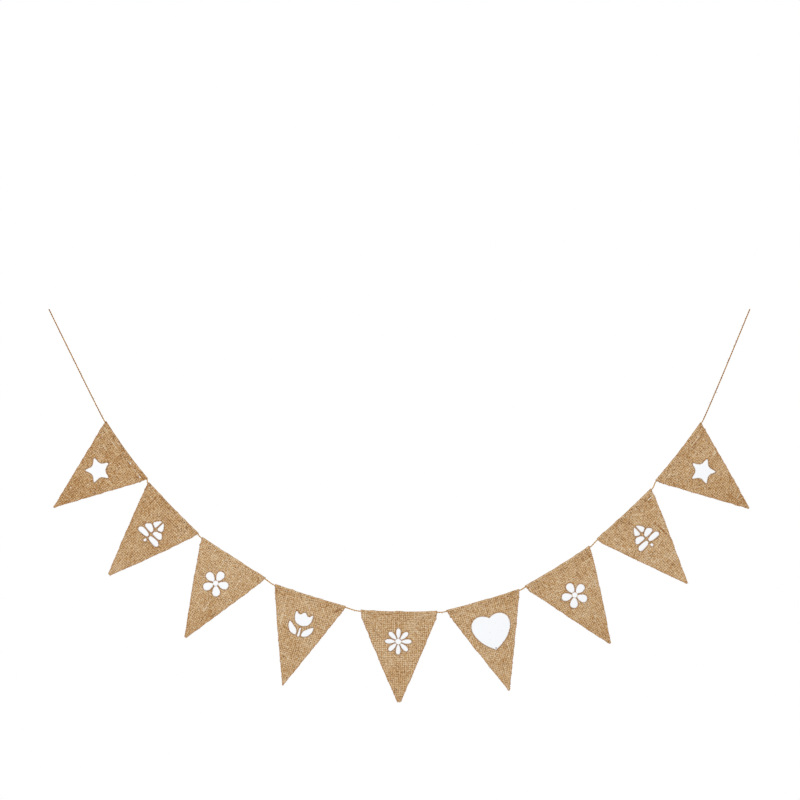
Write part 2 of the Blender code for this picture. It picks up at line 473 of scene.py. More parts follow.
class Nodes:
    """Adds nodes to one tree and links them."""

    def __init__(self, tree: bpy.types.NodeTree) -> None:
        """Keep the tree that the nodes go into."""
        self.tree = tree

    def add(self, kind: str, inputs: dict[Any, Any] | None = None, **settings: Any) -> Any:
        """Add one node.

        Args:
            kind: The node's type.
            inputs: A value or an output socket for each input, by name or number.
            settings: The node's own options.

        Returns:
            The node.
        """
        node = self.tree.nodes.new(kind)
        for name, value in settings.items():
            setattr(node, name, value)
        for key, value in (inputs or {}).items():
            socket = node.inputs[key] if isinstance(key, int) else self.named(node.inputs, key)
            if isinstance(value, bpy.types.NodeSocket):
                self.tree.links.new(value, socket)
            else:
                socket.default_value = value
        return node

    @staticmethod
    def named(sockets: Any, name: str) -> Any:
        """The socket in use that has this name."""
        return next(s for s in sockets if s.name == name and s.enabled)

    def out(self, kind: str, inputs: dict[Any, Any] | None = None, **settings: Any) -> Any:
        """Add one node and return its first output in use."""
        node = self.add(kind, inputs, **settings)
        return next(s for s in node.outputs if s.enabled)

    def math(self, operation: str, *values: Any) -> Any:
        """Add a Math node and return its output."""
        return self.out("ShaderNodeMath", dict(enumerate(values)), operation=operation)

    def times(self, a: Any, b: Any) -> Any:
        """Multiply two values."""
        return self.math("MULTIPLY", a, b)

    def plus(self, a: Any, b: Any) -> Any:
        """Add two values."""
        return self.math("ADD", a, b)

    def minus(self, a: Any, b: Any) -> Any:
        """Take the second value from the first."""
        return self.math("SUBTRACT", a, b)

    def times_plus(self, a: Any, b: Any, c: Any) -> Any:
        """Multiply two values and add a third."""
        return self.math("MULTIPLY_ADD", a, b, c)

    def sway(self, value: Any, middle: float, weight: Any, base: Any) -> Any:
        """Move a base by how far a value is from its middle, times a weight."""
        return self.times_plus(self.minus(value, middle), weight, base)

    def rounded(self, value: Any) -> Any:
        """A hump from 0 to 1 and back over each whole step of a value."""
        return self.math("SINE", self.times(self.math("FRACT", value), math.pi))

    def between(self, value: Any, low: float, high: float) -> Any:
        """Ease a value to a share, 0 at low and 1 at high."""
        fed = {"Value": value, "From Min": low, "From Max": high}
        return self.out("ShaderNodeMapRange", fed, interpolation_type="SMOOTHSTEP")

    def combine(self, x: Any, y: Any, z: Any) -> Any:
        """Put three values into a vector."""
        return self.out("ShaderNodeCombineXYZ", {0: x, 1: y, 2: z})

    def split(self, vector: Any) -> tuple[Any, Any, Any]:
        """Take a vector apart into its three values."""
        node = self.add("ShaderNodeSeparateXYZ", {0: vector})
        return node.outputs[0], node.outputs[1], node.outputs[2]

    def noise(self, vector: Any, scale: float, detail: float = 2.0) -> Any:
        """Add a Noise texture and return its value."""
        fed = {"Vector": vector, "Scale": scale, "Detail": detail}
        return self.out("ShaderNodeTexNoise", fed)

    def white_noise(self, vector: Any) -> Any:
        """Add a White Noise node, which has one random value and colour for each place."""
        return self.add("ShaderNodeTexWhiteNoise", {"Vector": vector}, noise_dimensions="3D")

    def patches(self, mottle: bpy.types.NodeTree, place: Any, scale: float, strength: float) -> Any:
        """Add the group of broad patches and return its shift."""
        fed = {"Place": place, "Scale": scale, "Strength": strength}
        return self.out("ShaderNodeGroup", fed, node_tree=mottle)

    def blend(self, share: Any, a: Any, b: Any) -> Any:
        """Mix two colours and return the mixed one."""
        fed = {"Factor": share, "A": a, "B": b}
        return self.out("ShaderNodeMix", fed, data_type="RGBA")

    def mask(self, name: str) -> Any:
        """The value of one of the piece's own attributes."""
        return self.add("ShaderNodeAttribute", attribute_name=name).outputs["Fac"]

    def object_place(self) -> Any:
        """Where on the piece a point is."""
        return self.add("ShaderNodeTexCoord").outputs["Object"]

    def vector(self, operation: str, inputs: dict[Any, Any]) -> Any:
        """Add a Vector Math node and return its first output in use."""
        return self.out("ShaderNodeVectorMath", inputs, operation=operation)

    def store(self, geometry: Any, name: str, value: Any, kind: str = "FLOAT") -> Any:
        """Store a value at each point, and return the geometry."""
        fed = {"Geometry": geometry, "Name": name, "Value": value}
        return self.out("GeometryNodeStoreNamedAttribute", fed, data_type=kind, domain="POINT")

    def stored(self, name: str, kind: str = "FLOAT") -> Any:
        """The value that was stored at each point under this name."""
        return self.out("GeometryNodeInputNamedAttribute", {"Name": name}, data_type=kind)

    def random(self, low: Any, high: Any, seed: Any, kind: str = "FLOAT") -> Any:
        """A random value for each point."""
        return self.out("FunctionNodeRandomValue", {"Min": low, "Max": high, "Seed": seed}, data_type=kind)

    def lean(self, rotation: Any, most: tuple[float, float, float], seed: Any) -> Any:
        """Turn each point's rotation a random way, up to these angles.

        Args:
            rotation: The socket of each point's rotation.
            most: The largest angle about each axis.
            seed: The random values' seed.

        Returns:
            The socket of the turned rotations.
        """
        least = tuple(-angle for angle in most)
        angles = self.random(least, most, seed, "FLOAT_VECTOR")
        fed = {"Rotation": rotation, "Rotate By": self.out("FunctionNodeEulerToRotation", {0: angles})}
        return self.out("FunctionNodeRotateRotation", fed, rotation_space="LOCAL")

    def ring(self, sides: Any, radius: Any) -> Any:
        """A round profile."""
        fed = {"Resolution": sides, "Radius": radius}
        return self.add("GeometryNodeCurvePrimitiveCircle", fed, mode="RADIUS").outputs["Curve"]

    def tube(self, line: Any, profile: Any) -> Any:
        """A closed tube along a line."""
        fed = {"Curve": line, "Profile Curve": profile, "Fill Caps": True}
        return self.out("GeometryNodeCurveToMesh", fed)


def sockets(tree: bpy.types.NodeTree, way: str, kinds: dict[str, str]) -> None:
    """Give a tree its named inputs or outputs.

    Args:
        tree: The node group.
        way: INPUT or OUTPUT.
        kinds: Each socket's name and kind, such as Float or Geometry.
    """
    for name, kind in kinds.items():
        tree.interface.new_socket(name=name, in_out=way, socket_type=f"NodeSocket{kind}")


@dataclass(frozen=True)
class YarnLook:
    """How unevenly the woven yarn is spun: weights in its tone, shares of it, paces for each thread."""

    middle: float = 0.512
    grain: float = 0.62
    grain_cells: float = 2.5
    streak: float = 0.24
    streak_pace: float = 0.35
    fibre: float = 0.7
    fibre_pace: float = 1.6
    fibre_fineness: float = 9.0
    # Weight of the painted shade at each crossing: darker corners, lighter crown.
    knot: float = 0.25
    patch_pace: float = 0.17
    fewest_specks: float = 0.012
    patch_specks: float = 0.07
    # Extra dark specks in the doubled hem band: painted shade of the flap behind.
    hem_shade_specks: float = 0.045
    faintest_speck: float = 0.4
    speck_range: float = 0.55
    packing_pace: float = 0.4
    # The painted shade in the gaps between threads: its least strength, and how much more it gets.
    least_gap: float = 0.3
    gap_range: float = 0.7
    all_but_pale_runs: float = 0.993
    all_but_pale_strands: float = 0.995
    fibre_relief: float = 0.25


def weave_group(look: YarnLook = YarnLook()) -> bpy.types.NodeTree:
    """Plain weave of uneven yarn, read from the thread map, one unit for each thread.

    Args:
        look: How uneven the yarn is.

    Returns:
        A group that puts out the yarn's tone with painted shade at its crossings, the weave's height, and
        masks of its dark specks, of painted shade in the gaps between threads and of its palest stretches.
    """
    tree = bpy.data.node_groups.new("plain weave", "ShaderNodeTree")
    sockets(tree, "INPUT", {"Threads": "Vector", "Crimp": "Float", "Twist": "Float", "Hem Shade": "Float"})
    sockets(tree, "OUTPUT", {"Tone": "Float", "Fleck": "Float", "Height": "Float", "Gap Shade": "Float"})
    sockets(tree, "OUTPUT", {"Cream": "Float"})
    g = Nodes(tree)
    given = g.add("NodeGroupInput").outputs
    a, b, _ = g.split(given["Threads"])

    # Which thread lies on top, and how high.
    warp, weft = g.math("FLOOR", a), g.math("FLOOR", b)
    over_warp, over_weft = g.rounded(a), g.rounded(b)
    odd = g.math("FLOORED_MODULO", g.plus(warp, weft), 2.0)
    side = g.times(g.minus(1.0, g.times(odd, 2.0)), given["Crimp"])
    warp_height = g.times_plus(side, over_weft, g.math("SQRT", over_warp))
    weft_height = g.minus(g.math("SQRT", over_weft), g.times(side, over_warp))
    height = g.math("MAXIMUM", warp_height, weft_height)
    warp_shows = g.math("GREATER_THAN", warp_height, weft_height)
    ways = g.combine(a, b, g.plus(warp, 0.5))
    turned = g.combine(b, a, g.plus(weft, 700.5))
    yarn = g.out("ShaderNodeMix", {"Factor": warp_shows, "A": turned, "B": ways}, data_type="VECTOR")
    across, along, name = g.split(yarn)

    # The yarn's tone, from its fibres, its streaks and its strands, and painted shade that darkens
    # the corners of each thread crossing and lightens its crown.
    slant = g.times_plus(along, given["Twist"], g.times(across, look.fibre_fineness))
    fibre = g.noise(g.combine(slant, g.times(along, look.fibre_pace), name), 1.0, 3.0)
    streak_place = g.combine(g.times(name, 3.7), g.times(along, look.streak_pace), 0.0)
    streak = g.noise(streak_place, 1.0, 1.0)
    strands = [g.math("FLOOR", g.times(value, look.grain_cells)) for value in (a, b)]
    grain = g.white_noise(g.combine(*strands, 0.5))
    depth, pick, spare = g.split(grain.outputs["Color"])
    tone = g.sway(grain.outputs["Value"], 0.5, look.grain, look.middle)
    tone = g.sway(streak, 0.5, look.streak, tone)
    tone = g.sway(fibre, 0.5, look.fibre, tone)
    tone = g.sway(g.times(over_warp, over_weft), 0.4, look.knot, tone)

    # Dark specks, more of them in patches, and more in the doubled hem band as painted shade
    # of the flap behind, seen through the weave.
    patch_place = g.combine(g.times(a, look.patch_pace), g.times(b, look.patch_pace), 5.0)
    patch = g.noise(patch_place, 1.0, 2.0)
    share = g.times_plus(g.between(patch, 0.42, 0.66), look.patch_specks, look.fewest_specks)
    share = g.times_plus(given["Hem Shade"], look.hem_shade_specks, share)
    speck = g.math("GREATER_THAN", g.plus(pick, share), 1.0)
    speck = g.times(speck, g.times_plus(depth, look.speck_range, look.faintest_speck))

    # Painted shade in the gaps between threads, wide where the cloth is loosely packed.
    packing_place = g.combine(g.times(name, 5.1), g.times(along, look.packing_pace), 9.0)
    packed = g.between(g.noise(packing_place, 1.0, 1.0), 0.44, 0.64)
    round_top = g.rounded(across)
    gap = g.times(g.between(round_top, 0.62, 0.1), g.times_plus(packed, look.gap_range, look.least_gap))

    # The few runs and strands that are nearly white.
    run = g.math("FLOOR", g.times_plus(along, 0.4, g.times(name, 0.37)))
    stretch = g.white_noise(g.combine(name, run, 2.5)).outputs["Value"]
    pale = g.math("GREATER_THAN", stretch, look.all_but_pale_runs)
    pale = g.times(pale, g.between(round_top, 0.5, 0.9))
    cream = g.math("MAXIMUM", pale, g.math("GREATER_THAN", spare, look.all_but_pale_strands))
    relief = g.times_plus(fibre, look.fibre_relief, height)
    g.add("NodeGroupOutput", {"Tone": tone, "Fleck": speck, "Height": relief, "Gap Shade": gap, "Cream": cream})
    return tree


def mottle_group() -> bpy.types.NodeTree:
    """Broad uneven patches, as in natural fibre that has aged unevenly.

    Returns:
        A group that puts out a value about 0 in proportion to its strength.
    """
    tree = bpy.data.node_groups.new("mottle", "ShaderNodeTree")
    sockets(tree, "INPUT", {"Place": "Vector", "Scale": "Float", "Strength": "Float"})
    sockets(tree, "OUTPUT", {"Shift": "Float"})
    g = Nodes(tree)
    given = g.add("NodeGroupInput").outputs
    broad = g.noise(given["Place"], given["Scale"], 3.0)
    g.add("NodeGroupOutput", {"Shift": g.times(g.minus(broad, 0.5), given["Strength"])})
    return tree


def new_material(name: str, roughness: float, sheen: float = 0.2) -> tuple[bpy.types.Material, Nodes, Any]:
    """A material with its Principled BSDF.

    Args:
        name: The finish's name.
        roughness: How matt it is.
        sheen: How much white light it throws back.

    Returns:
        The material, its nodes and its shader.
    """
    material = bpy.data.materials.new(name)
    material.use_nodes = True
    shader = material.node_tree.nodes["Principled BSDF"]
    shader.inputs["Roughness"].default_value = roughness
    shader.inputs["Specular IOR Level"].default_value = sheen
    return material, Nodes(material.node_tree), shader


def dress(g: Nodes, shader: Any, colour: Any, height: Any, depth: float, strength: float) -> None:
    """Feed a material's colour and its bump.

    Args:
        g: The material's nodes.
        shader: Its Principled BSDF.
        colour: The socket that gives the colour.
        height: The socket that gives the bump's height.
        depth: How deep the bump is, in metres.
        strength: How strongly it shows.
    """
    bump = g.add("ShaderNodeBump", {"Height": height, "Distance": depth, "Strength": strength})
    g.tree.links.new(colour, shader.inputs["Base Color"])
    g.tree.links.new(bump.outputs["Normal"], shader.inputs["Normal"])


@dataclass(frozen=True)
class JuteFinish:
    """Natural jute yarn, from its dark strands to its pale ones."""

    name: str = "natural jute cloth"
    dark: Colour = rgb(144, 92, 38)
    brown: Colour = rgb(185, 142, 91)
    middle: Colour = rgb(203, 167, 122)
    pale: Colour = rgb(217, 189, 150)
    cream: Colour = rgb(232, 215, 186)
    bark: Colour = rgb(88, 46, 10)
    straw: Colour = rgb(236, 222, 194)
    # Painted shade in the gaps between threads.
    gap_shade_tone: Colour = rgb(124, 72, 16)
    grey: Colour = rgb(188, 163, 137)
    # The cut edges' own darker tone, also painted as shade along the fold's top.
    cut_and_fold_shade_tone: Colour = rgb(168, 112, 54)
    line_tone: Colour = rgb(140, 88, 38)
    # Painted shadow round the painted motif.
    mark_shadow_tone: Colour = rgb(140, 92, 44)
    roughness: float = 0.92
    crimp: float = 0.82
    yarn_twist: float = 5.0
    patch_scale: float = 38.0
    patch_strength: float = 0.42
    grey_scale: float = 260.0
    grey_strength: float = 1.3
    cream_strength: float = 0.6
    gap_shade_strength: float = 0.95
    dark_stroke: float = 0.92
    pale_stroke: float = 0.5
    cut_edge_and_fold_shade: float = 0.85
    mark_shadow: float = 0.9
    bump: float = 0.35 * MM
    bump_strength: float = 0.7

    def tones(self, g: Nodes, tone: Any) -> Any:
        """Turn a tone from 0 to 1 into the jute's colour.

        Args:
            g: The material's nodes.
            tone: The socket that gives the tone.

        Returns:
            The colour socket.
        """
        ramp = g.add("ShaderNodeValToRGB", {"Fac": tone})
        elements = ramp.color_ramp.elements
        elements[0].color = self.dark
        elements[1].color = self.cream
        for place, colour in ((0.3, self.brown), (0.5, self.middle), (0.72, self.pale)):
            elements.new(place).color = colour
        return ramp.outputs["Color"]

    def build(self, weave: bpy.types.NodeTree, mottle: bpy.types.NodeTree) -> bpy.types.Material:
        """Make the cloth's material.

        Args:
            weave: The weave's node group.
            mottle: The group of broad patches.

        Returns:
            The material.
        """
        material, g, shader = new_material(self.name, self.roughness)
        threads = g.out("ShaderNodeUVMap", uv_map=THREAD_MAP)
        fed = {"Threads": threads, "Crimp": self.crimp, "Twist": self.yarn_twist}
        # More dark specks in the doubled hem band, as painted shade of the flap behind.
        fed["Hem Shade"] = g.mask("hem_band")
        cloth = g.add("ShaderNodeGroup", fed, node_tree=weave).outputs
        place = g.object_place()
        tone = g.plus(cloth["Tone"], g.patches(mottle, place, self.patch_scale, self.patch_strength))
        # Painted light and shade: each pennant's tone and its soft patches.
        colour = self.tones(g, g.plus(tone, g.mask("painted_shade")))
        greying = g.patches(mottle, place, self.grey_scale, self.grey_strength)
        colour = g.blend(g.math("MAXIMUM", greying, 0.0), colour, self.grey)
        colour = g.blend(g.times(cloth["Cream"], self.cream_strength), colour, self.straw)
        # Painted shade in the gaps between threads.
        colour = g.blend(g.times(cloth["Gap Shade"], self.gap_shade_strength), colour, self.gap_shade_tone)
        colour = g.blend(cloth["Fleck"], colour, self.bark)
        for name, tint, strength in (
            ("dark_stroke", self.line_tone, self.dark_stroke),
            ("pale_stroke", self.straw, self.pale_stroke),
            # The cut edges' own tone, with painted shade along the fold's top.
            ("cut_edge_and_fold_shade", self.cut_and_fold_shade_tone, self.cut_edge_and_fold_shade),
            # Painted shadow round the painted motif.
            ("mark_shadow", self.mark_shadow_tone, self.mark_shadow),
        ):
            colour = g.blend(g.times(g.mask(name), strength), colour, tint)
        dress(g, shader, colour, cloth["Height"], self.bump, self.bump_strength)
        return material


@dataclass(frozen=True)
class FibreFinish:
    """Loose jute fibre: cut thread ends and fuzz."""

    name: str = "loose jute fibre"
    dark: Colour = rgb(154, 102, 46)
    pale: Colour = rgb(202, 162, 104)
    roughness: float = 0.9
    patch_scale: float = 420.0
    patch_strength: float = 2.0

    def build(self, mottle: bpy.types.NodeTree) -> bpy.types.Material:
        """Make the fibre's material from the group of broad patches.

        Args:
            mottle: The group of broad patches.

        Returns:
            The material.
        """
        material, g, shader = new_material(self.name, self.roughness)
        patches = g.patches(mottle, g.object_place(), self.patch_scale, self.patch_strength)
        colour = g.blend(g.plus(patches, 0.5), self.dark, self.pale)
        g.tree.links.new(colour, shader.inputs["Base Color"])
        return material


@dataclass(frozen=True)
class TwineFinish:
    """Twisted jute yarn with its fibres along the plies."""

    name: str = "jute twine"
    # Painted shade in the grooves between the plies.
    groove_shade: Colour = rgb(116, 66, 12)
    brown: Colour = rgb(154, 94, 10)
    tan: Colour = rgb(216, 160, 50)
    # Painted light: the twine is lighter between its first hem and its last.
    bright: Colour = rgb(236, 194, 110)
    roughness: float = 0.88
    sheen: float = 0.04
    fibres_around: float = 5.0
    fibres_along: float = 260.0
    patch_scale: float = 150.0
    patch_strength: float = 1.5
    groove_shade_strength: float = 0.85
    painted_light_strength: float = 0.35
    hems_from: float = 0.21
    hems_to: float = 1.47
    bump: float = 0.12 * MM
    bump_strength: float = 0.8

    def build(self, mottle: bpy.types.NodeTree) -> bpy.types.Material:
        """Make the twine's material.

        Args:
            mottle: The group of broad patches.

        Returns:
            The material.
        """
        material, g, shader = new_material(self.name, self.roughness, self.sheen)
        strand = g.add("ShaderNodeAttribute", attribute_name="strand").outputs["Vector"]
        around_x, around_y, along = g.split(strand)
        around = [g.times(value, self.fibres_around) for value in (around_x, around_y)]
        fibres = g.noise(g.combine(*around, g.times(along, self.fibres_along)), 1.0, 3.0)
        patches = g.patches(mottle, g.combine(0.0, 0.0, along), self.patch_scale, self.patch_strength)
        colour = g.blend(g.between(g.plus(fibres, patches), 0.3, 0.75), self.brown, self.tan)
        # Painted shade in the grooves, where a ply faces the twine's middle.
        groove_shade = g.times(g.between(g.mask("inner"), 0.1, 0.9), self.groove_shade_strength)
        colour = g.blend(groove_shade, colour, self.groove_shade)
        # Painted light: the stretch of each ply from the first hem to the last is made lighter.
        run = g.math("FLOORED_MODULO", along, PLY_STEP)
        begun = g.between(run, self.hems_from - 5 * MM, self.hems_from + 5 * MM)
        not_over = g.between(run, self.hems_to + 5 * MM, self.hems_to - 5 * MM)
        bright = g.times(g.times(begun, not_over), self.painted_light_strength)
        colour = g.blend(bright, colour, self.bright)
        dress(g, shader, colour, fibres, self.bump, self.bump_strength)
        return material


@dataclass(frozen=True)
class PaintFinish:
    """White paint put on thickly through a stencil."""

    name: str = "white stencil paint"
    white: Colour = rgb(247, 249, 252)
    bright: Colour = rgb(253, 253, 254)
    spot: Colour = rgb(92, 64, 84)
    # Painted shadow at the film's edge and down its side wall.
    edge_shadow_brown: Colour = rgb(176, 134, 82)
    roughness: float = 0.6
    crimp: float = 0.82
    patch_scale: float = 160.0
    patch_strength: float = 0.5
    rim_strength: float = 0.8
    bump: float = 0.1 * MM
    bump_strength: float = 0.15

    def build(self, weave: bpy.types.NodeTree, mottle: bpy.types.NodeTree) -> bpy.types.Material:
        """Make the paint's material.

        Args:
            weave: The weave's node group, which shows faintly through the paint.
            mottle: The group of broad patches.

        Returns:
            The material.
        """
        material, g, shader = new_material(self.name, self.roughness)
        threads = g.out("ShaderNodeUVMap", uv_map=THREAD_MAP)
        fed = {"Threads": threads, "Crimp": self.crimp, "Twist": 0.0, "Hem Shade": 0.0}
        cloth = g.add("ShaderNodeGroup", fed, node_tree=weave).outputs
        patches = g.patches(mottle, g.object_place(), self.patch_scale, self.patch_strength)
        share = g.plus(g.times(g.mask("paint_rim"), self.rim_strength), patches)
        colour = g.blend(share, self.white, self.bright)
        colour = g.blend(g.mask("spot"), colour, self.spot)
        # Painted shadow at the film's edge and on its side wall.
        colour = g.blend(g.mask("paint_edge_shadow"), colour, self.edge_shadow_brown)
        dress(g, shader, colour, cloth["Height"], self.bump, self.bump_strength)
        return material


# Geometry Nodes trees.


def grow(
    name: str, source: bpy.types.Object, tree: bpy.types.NodeTree, values: dict[str, Any]
) -> bpy.types.Object:
    """Run a Geometry Nodes tree on a source and keep its result as a plain mesh.

    Args:
        name: The new piece's name.
        source: The object that the tree starts from, which is removed.
        tree: The Geometry Nodes tree.
        values: A value for each of the tree's named inputs.

    Returns:
        The new piece, at the origin.
    """
    modifier = source.modifiers.new(tree.name, "NODES")
    modifier.node_group = tree
    for item in tree.interface.items_tree:
        if item.in_out == "INPUT" and item.name in values:
            modifier[item.identifier] = values[item.name]
    graph = bpy.context.evaluated_depsgraph_get()
    mesh = bpy.data.meshes.new_from_object(
        source.evaluated_get(graph), preserve_all_data_layers=True, depsgraph=graph
    )
    source.modifiers.remove(modifier)
    bpy.data.objects.remove(source)
    mesh.name = name
    mesh.shade_smooth()
    return add_object(name, mesh)


def end_tree(g: Nodes, geometry: Any, material: Any) -> None:
    """Close a tree: instances made real, and the finish on them.

    Args:
        g: The tree's nodes.
        geometry: The socket of what the tree has made.
        material: The socket of its finish.
    """
    real = g.out("GeometryNodeRealizeInstances", {0: geometry})
    dressed = g.out("GeometryNodeSetMaterial", {"Geometry": real, "Material": material})
    g.add("NodeGroupOutput", {0: dressed})


def plied_tree() -> bpy.types.NodeTree:
    """Plies that are twisted round a centre line.

    Returns:
        The Geometry Nodes tree.
    """
    tree = bpy.data.node_groups.new("plied twine", "GeometryNodeTree")
    sockets(tree, "INPUT", {"Line": "Geometry", "Step": "Float", "Plies": "Int", "Lay": "Float"})
    sockets(tree, "INPUT", {"Ply Radius": "Float", "Ply Offset": "Float", "Sides": "Int"})
    sockets(tree, "INPUT", {"Unevenness": "Float", "Material": "Material"})
    sockets(tree, "OUTPUT", {"Geometry": "Geometry"})
    g = Nodes(tree)
    given = g.add("NodeGroupInput").outputs
    fed = {"Curve": given["Line"], "Length": given["Step"]}
    line = g.out("GeometryNodeResampleCurve", fed, mode="LENGTH")
    fed = {"Geometry": line, "Amount": given["Plies"]}
    copies = g.add("GeometryNodeDuplicateElements", fed, domain="SPLINE").outputs
    number = copies["Duplicate Index"]
    along = g.add("GeometryNodeSplineParameter").outputs["Length"]

    # Each ply winds round the centre line, a little unevenly.
    turns = g.plus(g.math("DIVIDE", along, given["Lay"]), g.math("DIVIDE", number, given["Plies"]))
    wander = g.noise(g.combine(g.times(along, 60.0), number, 0.0), 1.0, 1.0)
    angle = g.times(g.sway(wander, 0.5, 0.35, turns), 2.0 * math.pi)
    normal = g.out("GeometryNodeInputNormal")
    binormal = g.vector("CROSS_PRODUCT", {0: g.out("GeometryNodeInputTangent"), 1: normal})
    reach_n = g.times(g.math("COSINE", angle), given["Ply Offset"])
    reach_b = g.times(g.math("SINE", angle), given["Ply Offset"])
    across = g.vector("SCALE", {0: normal, "Scale": reach_n})
    upward = g.vector("SCALE", {0: binormal, "Scale": reach_b})
    offset = g.vector("ADD", {0: across, 1: upward})
    plies = g.store(copies["Geometry"], "along", g.times_plus(number, PLY_STEP, along))
    plies = g.store(plies, "outward", offset, "FLOAT_VECTOR")
    plies = g.out("GeometryNodeSetPosition", {"Geometry": plies, "Offset": offset})
    slub = g.noise(g.combine(g.times(along, 45.0), number, 9.0), 1.0, 2.0)
    thick = g.sway(slub, 0.5, given["Unevenness"], 1.0)
    plies = g.out("GeometryNodeSetCurveRadius", {"Curve": plies, "Radius": thick})

    # Each point keeps its place on its ply, and how far it faces the middle of the twine,
    # which the finish turns into painted shade in the grooves between the plies.
    spun = g.vector("NORMALIZE", {0: g.out("GeometryNodeInputPosition")})
    ring = g.store(g.ring(given["Sides"], given["Ply Radius"]), "around", spun, "FLOAT_VECTOR")
    tube = g.tube(plies, ring)
    x, y, _ = g.split(g.stored("around", "FLOAT_VECTOR"))
    tube = g.store(tube, "strand", g.combine(x, y, g.stored("along")), "FLOAT_VECTOR")
    outward = g.vector("NORMALIZE", {0: g.stored("outward", "FLOAT_VECTOR")})
    fed = {0: g.out("GeometryNodeInputNormal"), 1: outward}
    facing = g.add("ShaderNodeVectorMath", fed, operation="DOT_PRODUCT").outputs["Value"]
    tube = g.store(tube, "inner", g.times_plus(facing, -0.5, 0.5))
    end_tree(g, tube, given["Material"])
    return tree


def strand_shape(g: Nodes, bend: Any, sides: int, steps: int) -> Any:
    """A tapered strand of unit length and unit radius along +Z, bent to one side.

    Args:
        g: The tree's nodes.
        bend: How far its end stands to the side, in radii.
        sides: How many sides it has.
        steps: How many rings it has.

    Returns:
        The socket of its mesh.
    """
    line = g.out("GeometryNodeCurvePrimitiveLine", {"End": (0.0, 0.0, 1.0)})
    line = g.out("GeometryNodeResampleCurve", {"Curve": line, "Count": steps}, mode="COUNT")
    share = g.add("GeometryNodeSplineParameter").outputs["Factor"]
    side = g.combine(g.times(g.math("POWER", share, 2.0), bend), 0.0, 0.0)
    line = g.out("GeometryNodeSetPosition", {"Geometry": line, "Offset": side})
    thin = g.times_plus(share, -0.75, 1.0)
    line = g.out("GeometryNodeSetCurveRadius", {"Curve": line, "Radius": thin})
    return g.tube(line, g.ring(sides, 1.0))


def fuzz_tree() -> bpy.types.NodeTree:
    """Short hairs that stand off a surface here and there.

    Returns:
        The Geometry Nodes tree.
    """
    tree = bpy.data.node_groups.new("fuzz", "GeometryNodeTree")
    sockets(tree, "INPUT", {"Surface": "Geometry", "Density": "Float", "Hair Radius": "Float"})
    sockets(tree, "INPUT", {"Shortest": "Float", "Longest": "Float", "Seed": "Int"})
    sockets(tree, "INPUT", {"Material": "Material"})
    sockets(tree, "OUTPUT", {"Geometry": "Geometry"})
    g = Nodes(tree)
    given = g.add("NodeGroupInput").outputs
    seed, radius = given["Seed"], given["Hair Radius"]
    fed = {"Mesh": given["Surface"], "Density": given["Density"], "Seed": seed}
    spread = g.add("GeometryNodeDistributePointsOnFaces", fed).outputs
    length = g.random(given["Shortest"], given["Longest"], seed)
    fed = {
        "Points": spread["Points"],
        "Instance": strand_shape(g, 9.0, 3, 4),
        "Rotation": g.lean(spread["Rotation"], (1.2, 1.2, 3.1), seed),
        "Scale": g.combine(radius, radius, length),
    }
    end_tree(g, g.out("GeometryNodeInstanceOnPoints", fed), given["Material"])
    return tree


def fray_tree() -> bpy.types.NodeTree:
    """Cut thread ends, one at each point, pointing along the point's heading.

    Returns:
        The Geometry Nodes tree.
    """
    tree = bpy.data.node_groups.new("cut thread ends", "GeometryNodeTree")
    sockets(tree, "INPUT", {"Ends": "Geometry", "End Radius": "Float", "Seed": "Int"})
    sockets(tree, "INPUT", {"Material": "Material"})
    sockets(tree, "OUTPUT", {"Geometry": "Geometry"})
    g = Nodes(tree)
    given = g.add("NodeGroupInput").outputs
    fed = {"Vector": g.stored("heading", "FLOAT_VECTOR")}
    aimed = g.out("FunctionNodeAlignRotationToVector", fed, axis="Z")
    radius = given["End Radius"]
    fed = {
        "Points": given["Ends"],
        "Instance": strand_shape(g, 1.6, 4, 3),
        "Rotation": g.lean(aimed, (0.4, 0.4, 3.1), given["Seed"]),
        "Scale": g.combine(radius, radius, g.stored("span")),
    }
    end_tree(g, g.out("GeometryNodeInstanceOnPoints", fed), given["Material"])
    return tree


# The pieces.


@dataclass(frozen=True)
class Weave:
    """The cloth's threads and thickness."""

    pitch: float = 3.3 * MM
    cells: int = 4
    crimp: float = 0.27 * MM
    yarn: float = 0.32 * MM
    least: float = 0.07 * MM
    slub: float = 0.22
    wander: float = 0.40 * MM
    wander_run: float = 13 * MM
    ragged: float = 0.3 * MM
    scallop: float = 0.7 * MM
    scallop_run: float = 8 * MM
    inside: float = 0.35 * MM
    least_inside: float = 0.1 * MM
    even_tip: float = 12 * MM

    @property
    def cell(self) -> float:
        """Side of one mesh cell."""
        return self.pitch / self.cells


@dataclass(frozen=True)
class Lie:
    """How unevenly the cloth lies: its ripples, and its lumps where it folds over the twine."""

    ripple: float = 0.9 * MM
    ripple_across: float = 34 * MM
    ripple_down: float = 30 * MM
    lump: float = 1.1 * MM
    lump_run: float = 8 * MM
    lump_fade: float = 4 * MM


@dataclass(frozen=True)
class Masks:
    """How far each mask on the cloth reaches and fades, and how strong it is."""

    cut_reach: float = 1.7 * MM
    cut_rough: float = 0.5
    cut_run: float = 5 * MM
    cut_run_across: float = 40 * MM
    # Painted shade along the fold's top: its strength, its offset and its fade.
    fold: float = 0.45
    fold_half: float = 0.6 * MM
    fold_fade: float = 1.5 * MM
    band_fade: float = 3.0 * MM
    # Reach and fade of the painted shadow round the motif.
    rim_half: float = 0.4 * MM
    rim_fade: float = 1.0 * MM
    stroke_half: float = 0.6 * MM
    stroke_fade: float = 0.8 * MM
    stroke_least: float = 0.7
    stroke_rough: float = 0.5
    stroke_grain: float = 2.5 * MM


@dataclass(frozen=True)
class Fray:
    """The cut thread ends: their thickness, lengths in millimetres, and where they are rooted."""

    radius: float = 0.3 * MM
    root: float = 0.7
    shortest: float = 0.8
    longest: float = 1.2
    share_kept: float = 0.98
    stretch: float = 1.5


